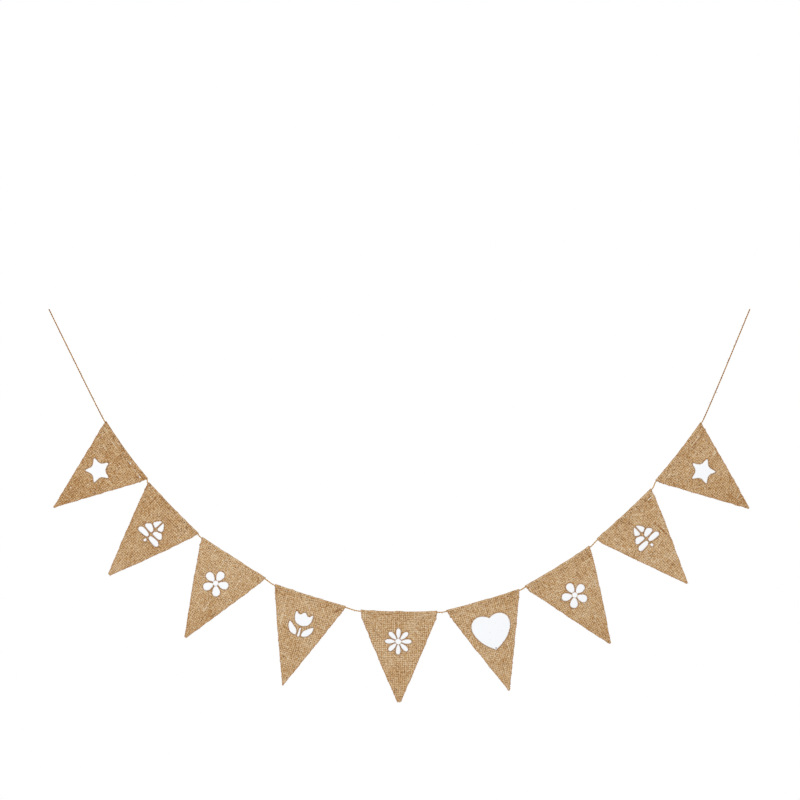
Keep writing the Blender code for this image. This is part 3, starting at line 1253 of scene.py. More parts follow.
@dataclass
class Pennant:
    """One pennant of woven jute: a front that narrows to a blunt tip and a hem over the twine."""

    number: int
    cut: Cut
    mark: Mark
    channel: np.ndarray
    weave: Weave = Weave()
    lie: Lie = Lie()
    masks: Masks = Masks()
    fray: Fray = Fray()
    cloth: float = 1.2 * MM
    twine_radius: float = 1.1 * MM
    twine_clearance: float = 0.45 * MM
    layer_gap: float = 0.5 * MM
    hem_depth: float = 15 * MM
    hem_closed: float = 9 * MM
    hem_inset: float = 4.0 * MM
    hem_step: float = 0.25 * MM
    step_lead: float = 1.0 * MM
    step_fade: float = 2.5 * MM

    def __post_init__(self) -> None:
        """Work out the section over the twine and the hem's own directions."""
        self.fold_radius = self.twine_radius + self.twine_clearance + self.cloth / 2
        self.axis_drop = self.fold_radius + self.cloth / 2
        self.layer = (self.cloth + self.layer_gap) / 2
        self.edge = self.hem_depth - self.axis_drop
        self.closed = self.hem_closed - self.axis_drop
        self.drop = self.cut.drop * MM
        self.hem = self.cut.hem * MM
        self.tip = self.cut.tip * MM
        self.tip_half = self.cut.tip_width / 2 * MM
        self.left = self.channel[0]
        chord = self.channel[-1] - self.left
        self.length = float(np.linalg.norm(chord))
        self.along = chord / self.length
        self.down = np.array((self.along[2], 0.0, -self.along[0]))
        relative = self.channel - self.left
        self.twine_place = relative @ self.along
        self.twine_sag = relative @ self.down
        self.path, self.top = self.section()
        steps = np.linalg.norm(np.diff(self.path, axis=0), axis=1)
        self.run = np.concatenate(([0.0], np.cumsum(steps)))
        self.top_run = self.run[self.top]
        self.seed = 100 * self.number

    def section(self) -> tuple[np.ndarray, int]:
        """The cloth's middle surface in section, from the free edge behind to the tip.

        Returns:
            Rows of depth towards the viewer and fall below the twine, and the row at the top.
        """
        behind = [(-self.layer, self.edge)]
        front = []
        ease_steps = 12
        for i in range(ease_steps + 1):
            share = i / ease_steps
            bulge = self.layer + (self.fold_radius - self.layer) * float(smooth(np.array(share)))
            behind.append((-bulge, self.closed * (1.0 - share)))
            proud = self.hem_step * (1.0 - share)
            front.append((bulge + proud, self.closed * (1.0 - share)))
        arc_steps = 24
        arc = []
        for i in range(1, arc_steps):
            angle = math.pi * i / arc_steps
            arc.append((-self.fold_radius * math.cos(angle), -self.fold_radius * math.sin(angle)))
        rest = []
        rest_steps = 400
        for i in range(1, rest_steps + 1):
            fall = self.closed + (self.drop - self.closed) * i / rest_steps
            past = (fall - self.edge + self.step_lead) / self.step_fade
            proud = self.hem_step * (1.0 - float(smooth(np.array(past))))
            rest.append((self.layer + proud, fall))
        path = np.array(behind + arc + front[::-1] + rest)
        return path, len(behind) + arc_steps // 2 - 1

    def fall_of(self, v: np.ndarray) -> np.ndarray:
        """How far below the twine the cloth is, at a run along its section."""
        return np.interp(v, self.run, self.path[:, 1])

    def sides(self, v: np.ndarray) -> tuple[np.ndarray, np.ndarray]:
        """Where the two cut edges lie along the hem.

        Args:
            v: Run along the section.

        Returns:
            The left edge's place and the right edge's.
        """
        fall = np.maximum(self.fall_of(v), 0.0)
        share = fall / self.drop
        bulge = 4.0 * share * (1.0 - share) * MM
        back = np.maximum(1.0 - fall / self.edge, 0.0) * MM
        left = (self.tip - self.tip_half) * share - self.cut.left_bow * bulge
        right = self.hem + (self.tip + self.tip_half - self.hem) * share + self.cut.right_bow * bulge
        left = left + self.cut.left_trim * back
        right = right - self.cut.right_trim * back
        behind = v < self.top_run
        flap = np.clip(fall / self.closed, 0.0, 1.0)
        left = np.where(behind, self.cut.left_trim * MM * (1.0 - flap) + self.hem_inset * flap, left)
        right_inset = self.cut.right_trim * MM * (1.0 - flap) + self.hem_inset * flap
        right = np.where(behind, self.hem - right_inset, right)
        return left + self.uneven(v, 1), right - self.uneven(v, 2)

    def uneven(self, v: np.ndarray, edge: int) -> np.ndarray:
        """How far a cut edge lies inside its line, at a run along the section.

        Args:
            v: Run along the section.
            edge: 1 for the left edge, 2 for the right one.

        Returns:
            The distances, in metres.
        """
        w = self.weave
        steps = value_noise(v / w.pitch, v * 0.0 + 0.5, self.seed + edge)
        waves = value_noise(v / w.scallop_run, v * 0.0 + 3.5, self.seed + 10 + edge)
        away_from_tip = smooth((self.run[-1] - v) / w.even_tip)
        more = w.inside - w.least_inside + w.ragged * steps + w.scallop * waves
        return w.least_inside + more * away_from_tip

    def place(self, x: np.ndarray, v: np.ndarray) -> np.ndarray:
        """Points of the cloth's middle surface.

        Args:
            x: Place along the hem, from its left end.
            v: Run along the section, from the free edge behind.

        Returns:
            One row for each point.
        """
        depth = np.interp(v, self.run, self.path[:, 0])
        fall = self.fall_of(v)
        share = np.maximum(fall, 0.0) / self.drop
        across = x / self.length
        swing = self.cut.curl * share**2
        belly = 4.0 * self.cut.belly * share * (1.0 - share) * np.sin(math.pi * across)
        twist = 2.0 * self.cut.twist * (across - 0.5) * np.sin(math.pi * share)
        lie = self.lie
        soft = value_noise(x / lie.ripple_across, fall / lie.ripple_down + 5.0, self.seed + 3)
        ripple = lie.ripple * soft * smooth((fall - self.edge) / lie.ripple_down)
        sag = np.interp(x, self.twine_place, self.twine_sag) * (1.0 - share)
        points = self.left + np.outer(x, self.along) + np.outer(fall + sag, self.down)
        points[:, 1] = -depth - (swing + belly + twist) * MM - ripple
        lump = np.maximum(value_noise(x / lie.lump_run, x * 0.0 + 0.5, self.seed + 9), 0.0)
        points[:, 2] += lie.lump * lump * (1.0 - smooth((fall + self.fold_radius) / lie.lump_fade))
        return points

    def normals(self, x: np.ndarray, v: np.ndarray) -> np.ndarray:
        """Unit normals of the middle surface, towards the viewer on the front.

        Args:
            x: Place along the hem.
            v: Run along the section.

        Returns:
            One row for each point.
        """
        step = 0.05 * MM
        over = self.place(x + step, v) - self.place(x - step, v)
        low = np.clip(v - step, 0.0, self.run[-1])
        high = np.clip(v + step, 0.0, self.run[-1])
        up = self.place(x, low) - self.place(x, high)
        normal = np.cross(over, up)
        return normal / np.linalg.norm(normal, axis=1)[:, None]

    def relief(self, a: np.ndarray, b: np.ndarray) -> tuple[np.ndarray, np.ndarray]:
        """How far the threads stand from the middle surface.

        Args:
            a: Place across the warp, in threads.
            b: Place across the weft, in threads.

        Returns:
            The heights on the front and on the back.
        """
        w = self.weave
        tiny = 1e-6
        warp, weft = np.floor(a + tiny), np.floor(b + tiny)
        over_warp = np.abs(np.sin(math.pi * (a - warp)))
        over_weft = np.abs(np.sin(math.pi * (b - weft)))
        side = 1.0 - 2.0 * ((warp + weft) % 2)
        warp_thick = 1.0 + w.slub * value_noise(warp + 0.5, b / 4.0, self.seed + 4)
        weft_thick = 1.0 + w.slub * value_noise(weft + 0.5, a / 4.0, self.seed + 5)
        warp_round = w.yarn * warp_thick * np.sqrt(over_warp)
        weft_round = w.yarn * weft_thick * np.sqrt(over_weft)
        lift_warp = w.crimp * side * over_weft
        lift_weft = w.crimp * side * over_warp
        front = np.maximum(warp_round + lift_warp, weft_round - lift_weft)
        back = np.maximum(warp_round - lift_warp, weft_round + lift_weft)
        return np.maximum(front, w.least), np.maximum(back, w.least)

    def lattice(self) -> tuple[np.ndarray, np.ndarray, np.ndarray, np.ndarray, list[tuple[int, ...]]]:
        """Cut the cloth out of a mesh whose cells follow the threads.

        Returns:
            For each vertex its place, run, thread coordinates and whether it is on the cut, and
            then the faces.
        """
        w = self.weave
        shift = (self.number * 0.37 % 1.0) * w.pitch
        spare = 4
        columns = np.arange(-spare, math.ceil(self.length / w.cell) + spare + 1)
        rows = np.arange(0, math.ceil(self.run[-1] / w.cell) + 1)
        column, row = np.meshgrid(columns, rows)
        a, b = column / w.cells, row / w.cells
        x = column * w.cell + shift - w.pitch
        v = row * w.cell
        x = x + w.wander * value_noise(a + 40.0, v / w.wander_run, self.seed + 6)
        v = v + w.wander * value_noise(x / w.wander_run + 40.0, b, self.seed + 7)
        v = np.clip(v, 0.0, self.run[-1])
        flat_v = v.ravel()
        left, right = (side.reshape(v.shape) for side in self.sides(flat_v))
        snap = 0.15 * w.cell
        inside = (x > left + snap) & (x < right - snap)
        index = np.arange(x.size).reshape(x.shape)
        cut = np.zeros(x.shape, bool)
        for r in range(len(rows)):
            kept = np.flatnonzero(inside[r])
            first, last = kept[0] - 1, kept[-1] + 1
            x[r, first], x[r, last] = left[r, first], right[r, last]
            index[r, :first], index[r, last + 1 :] = index[r, first], index[r, last]
            cut[r, [first, last]] = True
        cut[0, :] = cut[-1, :] = True
        faces = []
        quads = np.stack((index[:-1, :-1], index[:-1, 1:], index[1:, 1:], index[1:, :-1]), axis=-1)
        middle_x = (x[:-1, :-1] + x[1:, 1:]) / 2
        middle_fall = self.fall_of((v[:-1, :-1] + v[1:, 1:]) / 2)
        whole = ~self.slits(middle_x, middle_fall)
        for quad in quads[whole]:
            corners = tuple(dict.fromkeys(quad.tolist()))
            if len(corners) > 2:
                faces.append(corners)
        return x.ravel(), flat_v, np.stack((a.ravel(), b.ravel()), axis=1), cut.ravel(), faces

    def build(self, finish: bpy.types.Material) -> bpy.types.Object:
        """Make the cloth as one closed sheet.

        Args:
            finish: The cloth's material.

        Returns:
            The cloth's piece.
        """
        x, v, threads, cut, faces = self.lattice()
        used = np.unique(np.concatenate([np.array(face) for face in faces]))
        renumber = np.full(len(x), -1)
        renumber[used] = np.arange(len(used))
        faces = [tuple(renumber[list(face)].tolist()) for face in faces]
        x, v, threads, cut = x[used], v[used], threads[used], cut[used]
        middle = self.place(x, v)
        normal = self.normals(x, v)
        front, back = self.relief(threads[:, 0], threads[:, 1])
        front = np.where(cut, np.minimum(front, self.weave.yarn), front)
        back = np.where(cut, np.minimum(back, self.weave.yarn), back)
        count = len(used)
        points = np.concatenate((middle + normal * front[:, None], middle - normal * back[:, None]))
        edges: dict[tuple[int, int], int] = {}
        for face in faces:
            for start, end in zip(face, face[1:] + face[:1]):
                edges[(start, end)] = edges.get((start, end), 0) + 1
        all_faces = [face[::-1] for face in faces]
        all_faces += [tuple(corner + count for corner in face) for face in faces]
        for start, end in edges:
            if (end, start) not in edges:
                all_faces.append((start, end, end + count, start + count))
        name = f"pennant_cloth_{self.number}"
        mesh = add_mesh(name, points.tolist(), all_faces, finish)
        apart = np.array((40.0, 26.0)) * self.number
        self.add_thread_map(mesh, np.concatenate((threads, threads + 300.0)) + apart)
        self.add_masks(mesh, x, v)
        return add_object(name, mesh)

    @staticmethod
    def add_thread_map(mesh: bpy.types.Mesh, threads: np.ndarray) -> None:
        """Give a mesh the UV map that follows its threads.

        Args:
            mesh: The mesh.
            threads: Each vertex's place across the warp and the weft.
        """
        corners = np.zeros(len(mesh.loops), np.int32)
        mesh.loops.foreach_get("vertex_index", corners)
        layer = mesh.uv_layers.new(name=THREAD_MAP)
        layer.data.foreach_set("uv", threads[corners].astype(np.float32).ravel())

    def add_masks(self, mesh: bpy.types.Mesh, x: np.ndarray, v: np.ndarray) -> None:
        """Mark where the cloth is cut, doubled or flawed, and where painted shade falls: along its fold,
        as a darker shadow round its motif, and in soft patches of painted light and shade.

        Args:
            mesh: The cloth, its front vertices first.
            x: Place of each front vertex along the hem.
            v: Its run along the section.
        """
        m = self.masks
        left, right = self.sides(v)
        near = np.minimum(x - left, right - x)
        near = np.minimum(near, np.minimum(v, self.run[-1] - v))
        noise = value_noise(v / m.cut_run, x / m.cut_run_across, self.seed + 14)
        edge = 1.0 - smooth(near / (m.cut_reach * (1.0 + m.cut_rough * noise)))
        # Painted shade: a darker line along the top of the fold over the twine.
        fold = m.fold * (1.0 - smooth(abs(v - self.top_run - m.fold_half) / m.fold_fade))
        edge = np.maximum(edge, fold)
        fall = self.fall_of(v)
        band = 1.0 - smooth((fall - self.edge + m.band_fade / 2) / m.band_fade)
        # Painted shadow: a darker rim on the cloth round the painted motif.
        away = Stencil(self.mark).distance(np.stack((x, fall), axis=1))
        rim = 1.0 - smooth((away - m.rim_half) / m.rim_fade)
        rim = np.where(v > self.top_run, rim, 0.0)
        for name, both in (("cut_edge_and_fold_shade", edge), ("painted_shade", self.shade(x, fall))):
            add_mask(mesh, name, np.concatenate((both, both)))
        for name, front in (
            ("hem_band", band),
            ("dark_stroke", self.strokes(x, fall, v, Flaw.DARK)),
            ("pale_stroke", self.strokes(x, fall, v, Flaw.PALE)),
            ("mark_shadow", rim),
        ):
            add_mask(mesh, name, np.concatenate((front, front * 0.0)))

    def shade(self, x: np.ndarray, fall: np.ndarray) -> np.ndarray:
        """How much paler or darker the cloth is painted: per pennant, and in soft patches of light and
        shade.

        Args:
            x: Place along the hem.
            fall: Fall below the twine.

        Returns:
            A value for each vertex, paler above zero.
        """
        tone = np.full(len(x), PAINTED_SHADE_BY_PENNANT[self.number - 1])
        for shade in SHADES.get(self.number, ()):
            away = np.hypot(x - shade.place * MM, fall - shade.fall * MM) / (shade.radius * MM)
            tone += shade.amount * np.exp(-(away**2))
        return tone

    def strokes(self, x: np.ndarray, fall: np.ndarray, v: np.ndarray, flaw: Flaw) -> np.ndarray:
        """How strongly one kind of flaw shows at each vertex of the front.

        Args:
            x: Place along the hem.
            fall: Fall below the twine.
            v: Run along the section.
            flaw: The kind of flaw.

        Returns:
            Values from 0 to 1.
        """
        m = self.masks
        shown = np.zeros(len(x))
        noise = value_noise(x / m.stroke_grain, fall / m.stroke_grain + 40.0, self.seed + 13)
        rough = m.stroke_least + m.stroke_rough * noise
        for stroke in STROKES.get(self.number, {}).get(flaw, ()):
            start = np.array((stroke.place, stroke.fall)) * MM
            way = np.array((stroke.end_place, stroke.end_fall)) * MM - start
            offset = np.stack((x, fall), axis=1) - start
            share = np.clip(offset @ way / (way @ way), 0.0, 1.0)
            gap = np.linalg.norm(offset - share[:, None] * way, axis=1)
            shown = np.maximum(shown, rough * (1.0 - smooth((gap - m.stroke_half) / m.stroke_fade)))
        return np.where(v > self.top_run, np.clip(shown, 0.0, 1.0), 0.0)

    def slits(self, x: np.ndarray, fall: np.ndarray) -> np.ndarray:
        """Where the weave is open, through both layers of the hem.

        Args:
            x: Place of each mesh cell along the hem.
            fall: Its fall below the twine.

        Returns:
            True for each cell that is left out.
        """
        half = self.weave.cell
        found = np.zeros(x.shape, bool)
        for stroke in STROKES.get(self.number, {}).get(Flaw.SLIT, ()):
            beside = (x > stroke.place * MM) & (x < stroke.end_place * MM)
            found |= beside & (abs(fall - stroke.fall * MM) < half)
        return found

    def flat_area(self) -> float:
        """Area of the cut cloth before it was folded over the twine.

        Returns:
            The area in square metres.
        """
        v = np.linspace(0.0, self.run[-1], 400)
        left, right = self.sides(v)
        width = (right - left)[:-1] / 2 + (right - left)[1:] / 2
        return float((width * np.diff(v)).sum())

    def thread_ends(self) -> bpy.types.Object:
        """The points where threads are cut through, with the way that each thread runs there.

        Returns:
            An object that has only points.
        """
        w = self.weave
        random = np.random.default_rng(self.seed + 8)
        places, runs, ways = [], [], []
        for v in np.arange(0.5 * w.pitch, self.run[-1], w.pitch):
            left, right = self.sides(np.array([v]))
            places += [float(left[0]), float(right[0])]
            runs += [v, v]
            ways += [-self.along, self.along]
        front_runs = np.arange(self.top_run, self.run[-1], 0.2 * MM)
        left, right = self.sides(front_runs)
        for x in np.arange(0.5 * w.pitch, self.length, w.pitch):
            if self.hem_inset < x < self.length - self.hem_inset:
                places.append(x)
                runs.append(0.0)
                ways.append(self.down)
            inside = front_runs[(left < x) & (right > x)]
            if len(inside):
                places.append(x)
                runs.append(float(inside[-1]))
                ways.append(self.down)
        x, v = np.array(places), np.array(runs)
        ways_array = np.array(ways)
        fray = self.fray
        points = self.place(x, v) - ways_array * fray.root * MM
        span = random.uniform(fray.shortest, fray.longest, len(x)) * MM
        span = np.where(random.random(len(x)) > fray.share_kept, span * fray.stretch, span)
        mesh = bpy.data.meshes.new("thread ends")
        mesh.from_pydata(points.tolist(), [], [])
        layer = mesh.attributes.new("heading", "FLOAT_VECTOR", "POINT")
        layer.data.foreach_set("vector", ways_array.ravel())
        add_mask(mesh, "span", span)
        return add_object("thread ends", mesh)


def closed_spline(points: list[tuple[float, float]], steps: int, sharp: set[int]) -> np.ndarray:
    """A smooth closed outline through points, with sharp corners at some of them.

    Args:
        points: The outline's points, in order.
        steps: How many steps each stretch gets.
        sharp: The numbers of the points that stay corners.

    Returns:
        The outline, one row for each point.
    """
    given = np.array(points, float)
    count = len(given)
    outline = []
    for i in range(count):
        start, end = given[i], given[(i + 1) % count]
        before = start if i in sharp else given[i - 1]
        after = end if (i + 1) % count in sharp else given[(i + 2) % count]
        start_pull, end_pull = (end - before) / 2, (after - start) / 2
        outline += [cubic(start, start_pull, end, end_pull, t) for t in np.arange(steps) / steps]
    return np.array(outline)


def soften(outline: np.ndarray, rounds: int, share: float = 0.2) -> np.ndarray:
    """Cut the corners of a closed outline, several times over.

    Args:
        outline: The outline.
        rounds: How many times its corners are cut.
        share: How much of each side a cut takes.

    Returns:
        The softer outline.
    """
    for _ in range(rounds):
        step = (np.roll(outline, -1, axis=0) - outline) * share
        pair = np.stack((outline + step, np.roll(outline, -1, axis=0) - step), axis=1)
        outline = pair.reshape(-1, 2)
    return outline


@dataclass(frozen=True)
class Stencil:
    """The cut-outs of one motif's stencil, in metres along the hem and below the twine."""

    mark: Mark

    def outlines(self) -> list[np.ndarray]:
        """The motif's closed outlines in their place on the pennant.

        Returns:
            One array of points for each outline, in metres.
        """
        shapes = {
            Motif.STAR: self.star,
            Motif.LEAF: self.leaf,
            Motif.FLOWER: lambda: self.flower(5, 13.4, 6.7, 9.3, 5.0),
            Motif.TULIP: self.tulip,
            Motif.DAISY: lambda: self.flower(8, 13.8, 4.2, 9.0, 5.4),
            Motif.HEART: self.heart,
        }[self.mark.motif]()
        return [self.settle(shape) for shape in shapes]

    def settle(self, shape: np.ndarray) -> np.ndarray:
        """Turn a shape and put it in its place on the pennant.

        Args:
            shape: Points about the motif's centre, in millimetres.

        Returns:
            The points along the hem and below the twine, in metres.
        """
        turn = math.radians(self.mark.turn)
        across = np.array((math.cos(turn), math.sin(turn)))
        down = np.array((math.sin(turn), -math.cos(turn)))
        centre = np.array((self.mark.place, self.mark.fall))
        return (shape[:, :1] * across + shape[:, 1:] * down + centre) * MM

    def knot(self) -> np.ndarray | None:
        """Where a dark knot in the cloth shows through the paint, if it does.

        Returns:
            The knot's place, or None.
        """
        if self.mark.motif is Motif.HEART:
            return self.settle(np.array([(0.3, -29.8)]))[0]
        return None

    @staticmethod
    def star() -> list[np.ndarray]:
        """A star with five points.

        Returns:
            Its one outline.
        """
        points = []
        for i in range(10):
            angle = math.pi / 2 + math.pi * i / 5
            radius = 25.0 if i % 2 == 0 else 11.4
            points.append((radius * math.cos(angle), radius * math.sin(angle)))
        return [soften(np.array(points), 3)]

    @staticmethod
    def leaf() -> list[np.ndarray]:
        """A leaf in six lobes between bare veins, and its stalk.

        Returns:
            One outline for the stalk and one for each lobe.
        """
        lobes = (
            ((0.9, 23.0), (7.4, 17.4), (12.4, 8.6), (0.9, 3.8)),
            ((0.9, 1.6), (12.6, 7.2), (19.2, 0.4), (18.0, -4.8), (0.9, -6.2)),
            ((0.9, -8.4), (18.4, -6.9), (24.0, -12.8), (19.8, -18.6), (0.9, -15.8)),
        )
        shapes = [soften(np.array([(-2.2, -17.8), (2.2, -17.8), (2.8, -23.8), (-2.8, -23.8)]), 3)]
        for side in (1.0, -1.0):
            shapes += [soften(np.array(lobe) * np.array((side, 1.0)), 3) for lobe in lobes]
        return shapes

    @staticmethod
    def flower(
        petals: int, reach: float, half_width: float, half_length: float, eye: float
    ) -> list[np.ndarray]:
        """A flower of separate petals round an eye.

        Args:
            petals: How many petals it has.
            reach: How far the petals' centres are from its own.
            half_width: Half a petal's width.
            half_length: Half a petal's length.
            eye: The eye's radius.

        Returns:
            One outline for each petal and one for the eye.
        """
        turn = np.linspace(0.0, 2.0 * math.pi, 36, endpoint=False)
        shapes = [np.stack((eye * np.cos(turn), eye * np.sin(turn)), axis=1)]
        for i in range(petals):
            way = math.pi / 2 + 2.0 * math.pi * i / petals
            out = reach + half_length * np.cos(turn)
            width = half_width * np.sin(turn) * (1.0 + 0.28 * np.cos(turn))
            x = out * math.cos(way) - width * math.sin(way)
            y = out * math.sin(way) + width * math.cos(way)
            shapes.append(np.stack((x, y), axis=1))
        return shapes

    @staticmethod
    def tulip() -> list[np.ndarray]:
        """A tulip's head, its stalk and two leaves.

        Returns:
            One outline for each part.
        """
        head = [(0.0, -4.2), (10.6, -1.0), (15.8, 8.6), (15.4, 21.6), (7.6, 13.6)]
        head += [(0.0, 22.2), (-7.6, 13.6), (-15.4, 21.6), (-15.8, 8.6), (-10.6, -1.0)]
        shapes = [soften(np.array(head), 3)]
        shapes.append(soften(np.array([(-1.8, -6.4), (1.8, -6.4), (2.2, -22.4), (-2.2, -22.4)]), 3, 0.1))
        leaf = np.array(
            [(4.0, -21.6), (15.4, -18.6), (21.6, -9.0), (21.8, 1.6), (12.4, -5.0), (4.6, -12.0)]
        )
        for side in (1.0, -1.0):
            shapes.append(soften(leaf * np.array((side, 1.0)), 3))
        return shapes

    @staticmethod
    def heart() -> list[np.ndarray]:
        """A broad heart with a shallow notch.

        Returns:
            Its one outline.
        """
        half = [(9.4, -27.2), (20.8, -17.2), (28.6, -6.4), (32.6, 3.6), (33.0, 13.4)]
        half += [(29.8, 20.6), (24.0, 25.8), (16.2, 27.8), (7.2, 26.6)]
        tip, notch = (0.0, -33.0), (0.0, 22.6)
        points = [tip, *half, notch, *[(-x, y) for x, y in reversed(half)]]
        return [closed_spline(points, 5, {0, len(half) + 1})]

    def distance(self, points: np.ndarray) -> np.ndarray:
        """How far points are from the nearest outline, in metres.

        Args:
            points: Places along the hem and below the twine.

        Returns:
            One distance for each point.
        """
        samples = np.concatenate([self.fine(outline) for outline in self.outlines()])
        best = np.full(len(points), np.inf)
        for start in range(0, len(points), 4096):
            part = points[start : start + 4096]
            gaps = np.linalg.norm(part[:, None] - samples[None], axis=2)
            best[start : start + 4096] = gaps.min(axis=1)
        return best

    @staticmethod
    def fine(outline: np.ndarray, step: float = 0.5 * MM) -> np.ndarray:
        """The outline again with points about a step apart.

        Args:
            outline: A closed outline.
            step: How far apart the new points are.

        Returns:
            The new points.
        """
        closed = np.vstack((outline, outline[:1]))
        run = np.concatenate(([0.0], np.cumsum(np.linalg.norm(np.diff(closed, axis=0), axis=1))))
        at = np.linspace(0.0, run[-1], max(8, int(run[-1] / step)), endpoint=False)
        return np.stack([np.interp(at, run, closed[:, k]) for k in range(2)], axis=1)


@dataclass
class PaintedMark:
    """The film of white paint that a stencil leaves on a pennant's front."""

    pennant: Pennant
    step: float = 1.6 * MM
    edge_step: float = 0.8 * MM
    crown: float = 0.68 * MM
    brim: float = 0.46 * MM
    root: float = 0.1 * MM
    round_over: float = 0.9 * MM
    rim_half: float = 0.4 * MM
    rim_fade: float = 2.2 * MM
    spot_radius: float = 0.9 * MM
    spot_fade: float = 0.6 * MM
    # Painted shadow at the film's edge: its strength on top, and how fast it fades inward.
    paint_edge_shadow: float = 0.55
    paint_edge_shadow_fade: float = 0.6 * MM
    knot_clear: float = 1.9 * MM
    knot_rings: tuple[float, ...] = (0.5, 0.95, 1.4)
    knot_sides: int = 8

    def build(self, finish: bpy.types.Material) -> bpy.types.Object:
        """Make the film as one closed mesh for each cut-out, joined in one piece.

        Args:
            finish: The paint's material.

        Returns:
            The piece.
        """
        stencil = Stencil(self.pennant.mark)
        points, faces, threads, rims, spots, paint_edge_shadows = [], [], [], [], [], []
        knot = stencil.knot()
        for outline in stencil.outlines():
            ring = stencil.fine(outline, self.edge_step)
            flat, triangles = self.fill(ring, knot)
            gap = stencil.distance(flat)
            start = len(points)
            top, base, uv = self.lift(flat, gap)
            count = len(flat)
            points += [*top.tolist(), *base.tolist()]
            threads += [*uv, *uv]
            rim = 1.0 - smooth((gap - self.rim_half) / self.rim_fade)
            rims += [*rim, *rim]
            from_knot = np.full(count, 1.0)
            if knot is not None:
                from_knot = np.linalg.norm(flat - knot, axis=1)
            spot = 1.0 - smooth((from_knot - self.spot_radius) / self.spot_fade)
            spots += [*spot, *spot]
            # Painted shadow: brown near the film's edge on top, and all over its side wall.
            paint_edge_shadow = self.paint_edge_shadow * (1.0 - smooth(gap / self.paint_edge_shadow_fade))
            paint_edge_shadows += [*paint_edge_shadow, *np.ones(count)]
            edges = {(face[i], face[(i + 1) % 3]) for face in triangles for i in range(3)}
            for face in triangles:
                faces.append(tuple(start + corner for corner in face))
                faces.append(tuple(start + count + corner for corner in face[::-1]))
            for a, b in edges:
                if (b, a) not in edges:
                    faces.append((start + b, start + a, start + count + a, start + count + b))
        name = f"pennant_mark_{self.pennant.number}"
        mesh = add_mesh(name, points, faces, finish)
        Pennant.add_thread_map(mesh, np.array(threads))
        for mask, values in (("paint_rim", rims), ("spot", spots), ("paint_edge_shadow", paint_edge_shadows)):
            add_mask(mesh, mask, values)
        return add_object(name, mesh)

    def fill(self, ring: np.ndarray, knot: np.ndarray | None) -> tuple[np.ndarray, list[tuple[int, ...]]]:
        """Triangles inside one outline.

        Args:
            ring: The outline.
            knot: A place that gets finer triangles.

        Returns:
            The points and the triangles, turned to face the viewer.
        """
        low, high = ring.min(axis=0), ring.max(axis=0)
        xs = np.arange(low[0], high[0], self.step)
        ys = np.arange(low[1], high[1], self.step)
        inner = np.array([(x, y) for x in xs for y in ys])
        if knot is not None:
            inner = inner[np.linalg.norm(inner - knot, axis=1) > self.knot_clear]
            turns = np.linspace(0.0, 2.0 * math.pi, self.knot_sides, endpoint=False)
            circle = np.stack((np.cos(turns), np.sin(turns)), axis=1)
            rings = [knot + circle * radius * MM for radius in self.knot_rings]
            inner = np.concatenate((inner, knot[None], *rings))
        gaps = np.linalg.norm(inner[:, None] - ring[None], axis=2).min(axis=1)
        inner = inner[gaps > 0.6 * self.step]
        everything = [Vector(p) for p in (*ring, *inner)]
        loop = [list(range(len(ring)))]
        found = delaunay_2d_cdt(everything, [], loop, 1, 1e-7)
        flat = np.array([tuple(p) for p in found[0]])
        triangles = []
        for face in found[2]:
            a, b, c = (flat[corner] for corner in face)
            turn = (b[0] - a[0]) * (c[1] - a[1]) - (b[1] - a[1]) * (c[0] - a[0])
            triangles.append(tuple(face) if turn < 0 else tuple(face[::-1]))
        return flat, triangles

    def lift(self, flat: np.ndarray, gap: np.ndarray) -> tuple[np.ndarray, np.ndarray, list[Any]]:
        """Put flat points of the film in their place on the pennant.

        Args:
            flat: Points along the hem and below the twine.
            gap: How far each is from the outline.

        Returns:
            The film's top, its underside, and the thread coordinates.
        """
        p = self.pennant
        v = p.top_run + np.interp(flat[:, 1], p.path[p.top :, 1], p.run[p.top :] - p.top_run)
        middle = p.place(flat[:, 0], v)
        normal = p.normals(flat[:, 0], v)
        high = self.brim + (self.crown - self.brim) * smooth(gap / self.round_over)
        pitch = p.weave.pitch
        threads = np.stack((flat[:, 0] / pitch, v / pitch), axis=1)
        return middle + normal * high[:, None], middle + normal * self.root, list(threads)


@dataclass
class Twine:
    """The two-ply jute twine that the hems hang on."""

    line: np.ndarray
    diameter: float = 2.2 * MM
    plies: int = 2
    lay: float = 8.0 * MM
    ply_radius: float = 0.58 * MM
    ply_offset: float = 0.52 * MM
    sides: int = 7
    step: float = 0.62 * MM
    unevenness: float = 0.3

    def length(self) -> float:
        """Length of the centre line."""
        return float(np.linalg.norm(np.diff(self.line, axis=0), axis=1).sum())

    def centre_line(self) -> bpy.types.Object:
        """The centre line as a curve.

        Returns:
            The curve's object.
        """
        curve = bpy.data.curves.new("twine line", "CURVE")
        curve.dimensions = "3D"
        spline = curve.splines.new("POLY")
        spline.points.add(len(self.line) - 1)
        for point, place in zip(spline.points, self.line):
            point.co = (*place, 1.0)
            point.radius = 1.0
        return add_object("twine line", curve)

    def build(self, tree: bpy.types.NodeTree, finish: bpy.types.Material) -> bpy.types.Object:
        """Lay the plies round the centre line.

        Args:
            tree: The Geometry Nodes tree of the plies.
            finish: The twine's material.

        Returns:
            The twine's piece.
        """
        values = {
            "Step": self.step,
            "Plies": self.plies,
            "Lay": self.lay,
            "Ply Radius": self.ply_radius,
            "Ply Offset": self.ply_offset,
            "Sides": self.sides,
            "Unevenness": self.unevenness,
            "Material": finish,
        }
        return grow("twine_plies", self.centre_line(), tree, values)


